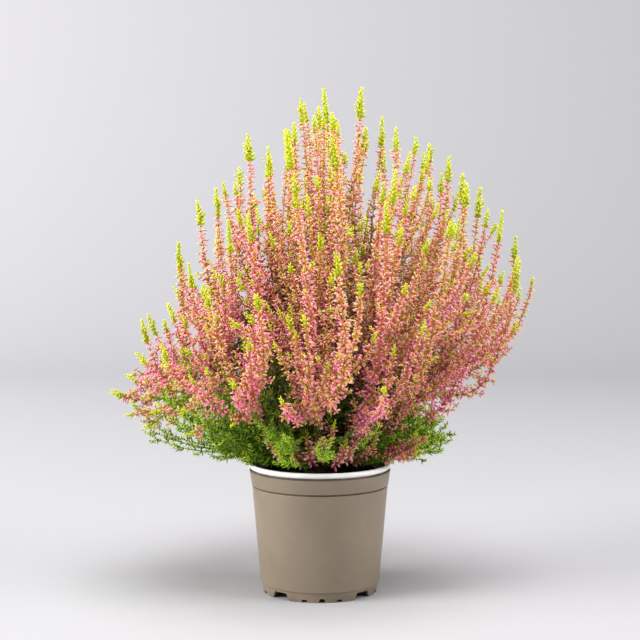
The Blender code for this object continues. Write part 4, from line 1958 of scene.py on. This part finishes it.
@dataclass
class LeafyPiece:
    """The green leafy stems on one limb, with their feathery side twigs."""

    palette: Palette
    number: int
    limb: Vector
    sprays: list[Spray]
    flank: float = 0.3  # x beyond which the limb is at the plant's left or right
    main: LeafHabit = LeafHabit(spacing=0.0025, length=0.0050, lift=0.60, girth=1.05)
    twig: LeafHabit = LeafHabit(spacing=0.0022, length=0.0049, lift=0.80, girth=1.08)
    leading: TwigHabit = TwigHabit(0.0062, (0.008, 0.018), 0.0)
    flowering: TwigHabit = TwigHabit(0.0062, (0.007, 0.014), 0.25)
    beside: TwigHabit = TwigHabit(0.0080, (0.007, 0.016), 0.1)
    basal: TwigHabit = TwigHabit(0.0058, (0.007, 0.013), 0.35)
    beside_from: float = 0.35  # distance from the disc's middle from which they are added
    beside_fork: Pair = (0.11, 0.17)
    beside_settle: float = 0.16
    beside_luck: Pair = (-0.05, 0.02)
    bunches: tuple[BunchHabit, ...] = (
        BunchHabit(
            count=16,
            more_left=18.0,
            more_right=-5.0,
            place=(0.55, 1.05),
            fork=(0.08, 0.12),
            settle=0.10,
            last=(0.18, 0.30),
            steps=12,
            twigs=TwigHabit(0.0060, (0.007, 0.015), 0.15),
            lower_right=0.03,
        ),
        BunchHabit(
            count=7,
            more_left=5.0,
            more_right=9.0,
            place=(0.48, 0.98),
            fork=(0.10, 0.16),
            settle=0.14,
            last=(0.34, 0.47),
            steps=16,
            twigs=TwigHabit(0.0064, (0.007, 0.014), 0.2),
        ),
    )
    low_shoots: tuple[BasalHabit, ...] = (
        BasalHabit((20, 20, 20), (0.020, 0.058), (0.124, 0.146)),
        BasalHabit((14, 0, 4), (0.062, 0.088), (0.112, 0.126)),
    )
    stem_radii: Pair = (0.0007, 0.0004)
    stem_rings: float = 0.006  # metres between them
    twig_radii: Pair = (0.00045, 0.00025)
    twig_rings: float = 0.012
    woody_below: float = 0.1  # age under which a stem's root is bark
    overlap: float = 0.01  # growth over which leaves and florets mix
    least_green: float = 0.02

    def __post_init__(self) -> None:
        """Starts the mesh and the piece's own luck."""
        self.thicket = Thicket()
        self.luck = np.random.default_rng(400 + self.number)

    def _leaves(self, way: Way, habit: LeafHabit, age: float) -> None:
        """Adds leaves in crosswise pairs, of much the same tone.

        Args:
            way: the stem's line.
            habit: how they stand.
            age: of the lowest.
        """
        marks = np.arange(habit.spacing, way.length, habit.spacing)
        if len(marks) == 0:
            return
        stand = Stand.on(way, marks)
        stand = stand.only(CANOPY.seen(stand.places, self.luck))
        share, count = stand.share, len(stand.places)
        stand.turn = stand.turn + self.luck.normal(0.0, habit.turn_spread, count)
        aims = stand.aims(habit.lift + self.luck.normal(0.0, habit.lift_spread, count))
        lengths = habit.length * self.luck.uniform(*habit.size_luck, count)
        sizes = lengths * (1.0 - habit.taper * share**3)
        ages = np.clip(age + habit.ageing * share, 0.0, 1.0)
        common, own = habit.tones
        tones = common * self.luck.uniform() + own * self.luck.uniform(0.0, 1.0, count)
        self.thicket.copies(SMALL_LEAF, LEAF, stand.places, aims, sizes, ages, tones, habit.girth)

    def _stem(self, way: Way, habit: TwigHabit) -> None:
        """Adds a leafy stem with side twigs.

        Args:
            way: its line.
            habit: how the side twigs stand.
        """
        low = habit.low
        if low > 0.0 and meets(way.points, HOLLOW, CLEARING, POSTS):
            return
        finish = BARK if low < self.woody_below else LEAF
        self.thicket.tube(way, self.stem_radii, finish, 3, self.stem_rings)
        self._leaves(way, self.main, low)
        marks = np.arange(habit.bare[0], way.length - habit.bare[1], habit.every)
        if len(marks) == 0:
            return
        marks = marks + self.luck.uniform(-habit.jitter, habit.jitter, len(marks)) * habit.every
        places, along, side, across = way.at(marks)
        steps = np.linspace(0.0, 1.0, 5)[:, None]
        outwards, onwards, up = habit.end_aim
        for i, mark in enumerate(marks):
            turn = i * GOLDEN_ANGLE + draw(self.luck, habit.turn_luck)
            out = math.cos(turn) * side[i] + math.sin(turn) * across[i]
            length = draw(self.luck, habit.reach)
            first = unit(out + along[i] * habit.root_aim)
            last = unit(out * outwards + along[i] * onwards + np.array((0.0, 0.0, up)))
            line = places[i] + length * (first * steps * (1.0 - 0.5 * steps) + last * 0.5 * steps**2)
            if meets(line, HOLLOW, CLEARING, POSTS):
                continue
            twig = Way(line)
            self.thicket.tube(twig, self.twig_radii, LEAF, 3, self.twig_rings)
            age = low + habit.ageing * (mark / way.length) + draw(self.luck, habit.age_luck)
            self._leaves(twig, self.twig, age)

    def _grow_under(self, spray: Spray, shoot: Shoot) -> None:
        """Adds the leafy part of a flowering shoot, or a leafy stem that rises under it.

        Args:
            spray: the shoot's spray.
            shoot: the flowering shoot.
        """
        if shoot.stem is spray.leader:
            way = shoot.stem.way(LAYOUT.limb_end, shoot.first + shoot.green + self.overlap)
            self._stem(way, self.leading)
            return
        if shoot.green > self.least_green:
            self._stem(shoot.stem.way(shoot.first, shoot.first + shoot.green, 12), self.flowering)
        place = shoot.stem.end
        if place.length < self.beside_from:
            return
        fork = draw(self.luck, self.beside_fork)
        stem = Stem(spray.leader.place(fork), place, fork, fork + self.beside_settle)
        end = GROWTH.flowers_from(place) + shoot.green + draw(self.luck, self.beside_luck)
        self._stem(stem.way(fork, end, 16), self.beside)

    def _grow_bunch(self, bunch: BunchHabit) -> None:
        """Adds leafy stems that fan out from the limb.

        Args:
            bunch: how many, and how they stand.
        """
        heading = self.limb.normalized()
        left, right = max(0.0, -heading.x), max(0.0, heading.x)
        for _ in range(bunch.count + round(bunch.more_left * left + bunch.more_right * right)):
            place = heading * draw(self.luck, bunch.place)
            place.rotate(Matrix.Rotation(draw(self.luck, bunch.turn), 2))
            fork = draw(self.luck, bunch.fork)
            stem = Stem(self.limb, place, fork, fork + bunch.settle)
            end = draw(self.luck, bunch.last) - bunch.lower_right * right
            self._stem(stem.way(fork, end, bunch.steps), bunch.twigs)

    def _grow_basal(self, habit: BasalHabit) -> None:
        """Adds low shoots from the crown.

        Args:
            habit: how many, and how they arch.
        """
        side = 0 if self.limb.x < -self.flank else 2 if self.limb.x > self.flank else 1
        for _ in range(habit.counts[side]):
            turn = draw(self.luck, habit.turn) * (habit.all_round if self.limb.length == 0.0 else 1.0)
            angle = math.atan2(self.limb.y, self.limb.x) + turn
            out = np.array((math.cos(angle), math.sin(angle), 0.0))
            reach = draw(self.luck, habit.reach)
            root = np.array((0.0, 0.0, habit.root[1])) + out * habit.root[0]
            level = np.array((0.0, 0.0, draw(self.luck, habit.middle_height)))
            middle = out * reach * habit.middle_reach + level
            level = np.array((0.0, 0.0, draw(self.luck, habit.height)))
            end = out * reach * habit.end_reach + level
            self._stem(Way(bow(root, middle, end, habit.steps)[habit.skipped :]), self.basal)

    def build(self) -> None:
        """Grows the stems and makes the piece."""
        for spray in self.sprays:
            if spray.limb == self.number - 1:
                for shoot in spray.shoots:
                    self._grow_under(spray, shoot)
        if self.limb.length > 0.0:
            for bunch in self.bunches:
                self._grow_bunch(bunch)
        for habit in self.low_shoots:
            self._grow_basal(habit)
        name, node = f"leafy_shoots_{self.number}", f"leafy_branch_{self.number}"
        self.thicket.make(self.palette, name, Slot.LEAF, node)


@dataclass(frozen=True)
class Bloom:
    """How the florets of one stem look and stand."""

    age: Pair  # at its two ends
    size: float  # of a floret
    tone: float
    spacing: float  # between the pairs
    form: Form


@dataclass
class FlowerPiece:
    """The flowering shoots that stand for one packed spray."""

    palette: Palette
    spray: Spray
    pair_spacing: float = 0.0023
    floret_length: Pair = (0.0047, 0.0060)
    fine_floret: float = 0.94  # size on a finer shoot or twig, as a share
    jitter: float = 0.25
    turn_spread: float = 0.35
    lift: Pair = (0.32, 0.36)  # radians and their spread
    size_luck: Pair = (0.80, 1.18)
    size_taper: Pair = (1.06, 0.20)  # at the root, and how much less at the end
    age_spread: float = 0.08
    own_tone: float = 0.5
    floret_root: float = 0.0004  # from the stem's middle
    bracts: float = 0.6  # share of the florets that have one
    bract_turn: float = 0.8
    bract_aim: Pair = (0.75, 0.66)  # outwards, along the stem
    bract_size: Pair = (0.55, 0.95)
    bract_girth: float = 1.25
    low_level: float = 0.14  # shoots that end here are the weakest and youngest
    vigour_rise: float = 0.22
    age_rise: float = 0.26
    most_green: float = 0.6  # share of a shoot
    least_bloom: float = 0.4
    inner_growth: float = 0.80
    inner_back: float = 0.2
    root_age: float = 0.02
    shoot_steps: int = 36
    shoot_rings: float = 0.0045
    shoot_radii: Pair = (0.0008, 0.0004)
    tip_radii: Pair = (0.0013, 0.0003)
    twig_radii: Pair = (0.0004, 0.00025)
    twig_from: float = 0.004
    twig_every: float = 0.0072
    twig_length: Pair = (0.005, 0.009)
    twig_longer: float = 0.009  # how much longer the lowest are
    twig_part: float = 0.78  # share of a shoot that bears side twigs
    twig_spacing: float = 0.0031
    twig_tip: float = 0.0045
    twig_tips: float = 0.14  # share of the twigs that end in a fresh tip
    needle_from: float = 0.0004
    needle_spacing: float = 0.0015
    needle_turn: float = 0.2
    needle_lift: Pair = (0.48, 0.72)  # at the root, and how much more at the end
    needle_taper: Pair = (1.10, 0.35)
    needle_luck: Pair = (0.80, 1.15)
    needle_length: Pair = (0.0044, 0.0060)
    needle_girth: float = 1.15
    spike_radii: Pair = (0.0007, 0.0004)
    spike_tip: Pair = (0.006, 0.009)
    spike_bare: float = 0.42  # share of its length without florets
    spike_floret: float = 0.0058
    spike_spacing: float = 0.0017

    def __post_init__(self) -> None:
        """Starts both meshes and the spray's own luck."""
        self.flowers = Thicket()
        self.tips = Thicket()
        self.luck = np.random.default_rng(700 + self.spray.number)

    def _florets(self, way: Way, bloom: Bloom) -> None:
        """Adds florets in crosswise pairs, with small bracts under them.

        Args:
            way: the stem's line.
            bloom: how they look and stand.
        """
        marks = np.arange(bloom.spacing * 0.5, way.length, bloom.spacing)
        if len(marks) == 0:
            return
        marks = marks + self.luck.uniform(-self.jitter, self.jitter, len(marks)) * bloom.spacing
        stand = Stand.on(way, marks)
        stand = stand.only(CANOPY.seen(stand.places, self.luck))
        share, count = stand.share, len(stand.places)
        stand.turn = stand.turn + self.luck.normal(0.0, self.turn_spread, count)
        aims = stand.aims(self.luck.normal(*self.lift, count))
        taper = self.size_taper[0] - self.size_taper[1] * share
        sizes = bloom.size * self.luck.uniform(*self.size_luck, count) * taper
        ages = bloom.age[0] + (bloom.age[1] - bloom.age[0]) * share
        ages = np.clip(ages + self.luck.normal(0.0, self.age_spread, count), 0.0, 1.0)
        own = self.luck.uniform(0.0, self.own_tone, count)
        tones = np.clip(bloom.tone * (1.0 - self.own_tone) + own, 0.0, 1.0)
        roots = stand.places + stand.out() * self.floret_root
        inner = CANOPY.depth(stand.places) > CANOPY.inner
        for form, part in ((bloom.form, ~inner), (INNER_BUD, inner)):
            rows = (row[part] for row in (roots, aims, sizes, ages, tones))
            self.flowers.copies(form, FLORET, *rows)
        some = self.luck.uniform(size=count) < self.bracts
        under = stand.only(some)
        under.turn = under.turn + self.bract_turn
        number = len(under.places)
        outwards, onwards = self.bract_aim
        self.flowers.copies(
            SMALL_LEAF,
            BRACT,
            under.places,
            under.out() * outwards + under.along * onwards,
            bloom.size * self.luck.uniform(*self.bract_size, number),
            ages[some],
            self.luck.uniform(size=number),
            self.bract_girth,
        )

    def _needles(self, way: Way, length: float, low: float) -> None:
        """Adds crowded fresh leaves that close to a point.

        Args:
            way: the tip's line.
            length: of a leaf.
            low: age of the lowest.
        """
        stand = Stand.on(way, np.arange(self.needle_from, way.length, self.needle_spacing))
        share, count = stand.share, len(stand.places)
        stand.turn = stand.turn + self.luck.normal(0.0, self.needle_turn, count)
        aims = stand.aims(self.needle_lift[0] + self.needle_lift[1] * share)
        taper = self.needle_taper[0] - self.needle_taper[1] * share
        sizes = length * taper * self.luck.uniform(*self.needle_luck, count)
        ages = np.clip(low + (1.0 - low) * share, 0.0, 1.0)
        tones = self.luck.uniform(size=count)
        self.tips.copies(TIP_LEAF, TIP, stand.places, aims, sizes, ages, tones, self.needle_girth)

    def _shoot(self, shoot: Shoot) -> None:
        """Adds one flowering shoot with its fresh tip.

        Args:
            shoot: its line and growth.
        """
        whole = shoot.stem.way(shoot.first, shoot.last)
        rise = whole.points[-1, 2] - self.low_level
        vigour = min(1.0, 0.5 + 0.5 * max(0.0, rise / self.vigour_rise))
        start = whole.length * min(self.most_green, shoot.green / (shoot.last - shoot.first))
        bare = max(whole.length - shoot.tip * vigour, whole.length * self.least_bloom)
        stem = whole.part(0.0, bare, self.shoot_steps)
        way = whole.part(start, bare, self.shoot_steps) if start > 0.0 else stem
        tip = whole.part(bare, whole.length, 8)
        tone = float(self.luck.uniform())
        top = min(1.0, max(0.0, rise / self.age_rise))
        age = (self.root_age, 0.25 + 0.75 * top * (0.6 + 0.4 * tone))
        self.flowers.tube(stem, self.shoot_radii, STEM, 3, self.shoot_rings, age, tone)
        size = draw(self.luck, self.floret_length) * (1.0 if shoot.main else self.fine_floret)
        hidden = shoot.last < self.inner_growth or shoot.stem.end.y > self.inner_back
        inner = hidden and not shoot.main
        bloom = Bloom(age, size, tone, self.pair_spacing, SMALL_BUD if inner else BUD)
        self._florets(way, bloom)
        self._side_twigs(way, bloom)
        self.tips.tube(tip, self.tip_radii, TIP, 4, 0.005, (0.3, 1.0))
        length = draw(self.luck, self.needle_length) * (1.0 if shoot.main else 0.84)
        self._needles(tip, length * (0.6 + 0.4 * vigour), 0.15)
        for _ in range(int(self.luck.integers(0, 2)) + (2 if shoot.main else 0)):
            self._side_tip(tip)

    def _side_tip(self, tip: Way) -> None:
        """Adds a small fresh tip beside a larger one.

        Args:
            tip: the larger one's line.
        """
        mark = draw(self.luck, (0.0, 0.45)) * tip.length
        places, along, side, across = tip.at(np.array([mark]))
        turn = draw(self.luck, (0.0, 2.0 * math.pi))
        out = math.cos(turn) * side[0] + math.sin(turn) * across[0]
        length = draw(self.luck, (0.004, 0.009))
        steps = np.linspace(0.0, 1.0, 4)[:, None]
        line = places[0] + length * (unit(out * 0.6 + along[0]) * steps)
        self._needles(Way(line), 0.0034, 0.1)

    def _side_twigs(self, way: Way, bloom: Bloom) -> None:
        """Adds short flowering side twigs, which make the lower part of a shoot fuller.

        Args:
            way: the shoot's line.
            bloom: of the shoot's own florets.
        """
        end = way.length * self.twig_part
        marks = np.arange(self.twig_from, end, self.twig_every)
        if len(marks) == 0:
            return
        low, high = bloom.age
        places, along, side, across = way.at(marks)
        steps = np.linspace(0.0, 1.0, 4)[:, None]
        for i, mark in enumerate(marks):
            turn = i * GOLDEN_ANGLE + draw(self.luck, (-0.5, 0.5))
            out = math.cos(turn) * side[i] + math.sin(turn) * across[i]
            length = draw(self.luck, self.twig_length) + self.twig_longer * (1.0 - mark / end)
            line = places[i] + length * (unit(out + along[i] * 0.8) * steps + along[i] * 0.2 * steps**2)
            if meets(line, HOLLOW, CLEARING):
                continue
            twig = Way(line)
            self.flowers.tube(twig, self.twig_radii, STEM, 3, 0.02, (low, low), bloom.tone)
            here = low + (high - low) * mark / way.length
            ages, size = (here, min(1.0, here + 0.2)), bloom.size * self.fine_floret
            self._florets(twig, Bloom(ages, size, bloom.tone, self.twig_spacing, SMALL_BUD))
            if self.luck.uniform() < self.twig_tips:
                bit = twig.points[-1] + unit(out * 0.5 + along[i]) * steps * self.twig_tip
                self._needles(Way(bit), 0.0030, 0.1)

    def _spike(self, way: Way) -> None:
        """Adds a short upright flowering stem with a fresh tip.

        Args:
            way: its line.
        """
        bare = way.length - draw(self.luck, self.spike_tip)
        stem = way.part(0.0, bare, 16)
        flowering = way.part(way.length * self.spike_bare, bare, 12)
        tone = draw(self.luck, (0.1, 0.7))
        self.flowers.tube(stem, self.spike_radii, STEM, 3, 0.006, (0.1, 0.5), tone)
        self._florets(flowering, Bloom((0.45, 0.90), self.spike_floret, tone, self.spike_spacing, BUD))
        self._needles(way.part(bare, way.length, 5), 0.0042, 0.15)

    def build(self) -> None:
        """Grows the shoots and makes both pieces."""
        for shoot in self.spray.shoots:
            self._shoot(shoot)
        for way in self.spray.spikes:
            self._spike(way)
        number = f"{self.spray.number:02d}"
        self.flowers.make(self.palette, f"florets_{number}", Slot.FLORET, f"flower_spray_{number}")
        self.tips.make(self.palette, f"lime_tips_{number}", Slot.TIP, f"shoot_tip_{number}")


@dataclass(frozen=True)
class Lamp:
    """A soft rectangular lamp."""

    name: str
    place: Triple
    aim: Triple
    side: float
    power: float
    colour: Triple


LAMPS = (
    Lamp("key", (-2.15, -0.82, 1.05), (0.0, 0.0, 0.2), 1.3, 87.0, (1.0, 0.985, 0.95)),
    Lamp("top", (0.3, -0.90, 3.0), (0.0, 0.0, 0.2), 1.9, 117.0, (1.0, 1.0, 1.0)),
    Lamp("side", (1.95, -0.6, 0.85), (0.0, 0.0, 0.22), 1.3, 36.0, (1.0, 0.99, 0.97)),
    Lamp("wall", (-2.0, 0.8, 1.0), (-1.0, 2.5, 0.8), 1.0, 38.0, (1.0, 0.98, 1.0)),
)


@dataclass
class Studio:
    """Plain pale floor, soft light and the camera."""

    lamps: tuple[Lamp, ...] = LAMPS
    floor: Triple = (0.410, 0.407, 0.424)
    floor_roughness: float = 0.85
    front: float = -3.0
    back: float = 1.6
    bend: float = 0.9
    bend_steps: int = 12
    wall: float = 4.0
    half_width: float = 5.0
    lens: float = 100.0
    sensor: float = 36.0
    camera_place: Triple = (0.0, -1.5, 0.36)
    camera_aim: Triple = (0.0, 0.0, 0.232)
    sky: Triple = (0.93, 0.95, 1.0)
    sky_strength: float = 0.13

    @staticmethod
    def _hold(name: str, data: bpy.types.ID, place: Triple, aim: Triple) -> bpy.types.Object:
        """Places a lamp or camera.

        Args:
            name: of the object.
            data: the lamp or camera.
            place: where it stands.
            aim: what it looks at.

        Returns:
            The object.
        """
        holder = new_object(name, data)
        holder.location = place
        holder.rotation_euler = (Vector(aim) - Vector(place)).to_track_quat("-Z", "Y").to_euler()
        return holder

    def _light(self, lamp: Lamp) -> None:
        """Adds a lamp.

        Args:
            lamp: its sizes, place and light.
        """
        light = bpy.data.lights.new(lamp.name, "AREA")
        light.shape = "RECTANGLE"
        light.size = light.size_y = lamp.side
        light.energy = lamp.power
        light.color = lamp.colour
        self._hold(lamp.name, light, lamp.place, lamp.aim)

    def _sweep(self) -> None:
        """Adds a floor that curves up into a backdrop."""
        line = [(self.front, 0.0), (self.back, 0.0)]
        for step in range(1, self.bend_steps + 1):
            angle = math.pi / 2.0 * step / self.bend_steps
            rise = self.bend * (1.0 - math.cos(angle))
            line.append((self.back + self.bend * math.sin(angle), rise))
        line.append((self.back + self.bend, self.wall))
        points = [(side * self.half_width, y, z) for y, z in line for side in (-1, 1)]
        faces = [(2 * i, 2 * i + 1, 2 * i + 3, 2 * i + 2) for i in range(len(line) - 1)]
        mesh = bpy.data.meshes.new("sweep")
        mesh.from_pydata(points, [], faces)
        mesh.shade_smooth()
        paper = bpy.data.materials.new("pale_floor")
        paper.use_nodes = True
        surface = paper.node_tree.nodes["Principled BSDF"]
        surface.inputs["Base Color"].default_value = (*self.floor, 1.0)
        surface.inputs["Roughness"].default_value = self.floor_roughness
        mesh.materials.append(paper)
        new_object("sweep", mesh)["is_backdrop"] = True

    def _camera(self) -> None:
        """Adds the camera at the photograph's height and slope, nearer in by its lens."""
        data = bpy.data.cameras.new("camera")
        data.lens = self.lens
        data.sensor_width = self.sensor
        camera = self._hold("camera", data, self.camera_place, self.camera_aim)
        bpy.context.scene.camera = camera

    def build(self) -> None:
        """Makes the stage."""
        self._sweep()
        self._camera()
        for lamp in self.lamps:
            self._light(lamp)
        world = bpy.data.worlds.new("studio")
        world.use_nodes = True
        back = world.node_tree.nodes["Background"]
        back.inputs["Color"].default_value = (*self.sky, 1.0)
        back.inputs["Strength"].default_value = self.sky_strength
        bpy.context.scene.world = world
        bpy.context.scene.view_settings.view_transform = "Standard"


def write_size() -> None:
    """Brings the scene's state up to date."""
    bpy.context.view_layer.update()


def main() -> None:
    """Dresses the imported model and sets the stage."""
    palette = Palette()
    plan = Plan(seed=31)
    PotPiece(palette).build()
    PeatPiece(palette, seed=11).build()
    CrownPiece(palette, plan.limbs).build()
    for number, limb in enumerate(plan.limbs, start=1):
        LeafyPiece(palette, number, limb, plan.sprays).build()
    for spray in plan.sprays:
        FlowerPiece(palette, spray).build()
    total = sum(len(o.data.loop_triangles) or len(o.data.polygons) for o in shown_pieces())
    log.info("all pieces: %d faces", total)
    Studio().build()
    write_size()


if __name__ == "__main__":
    main()
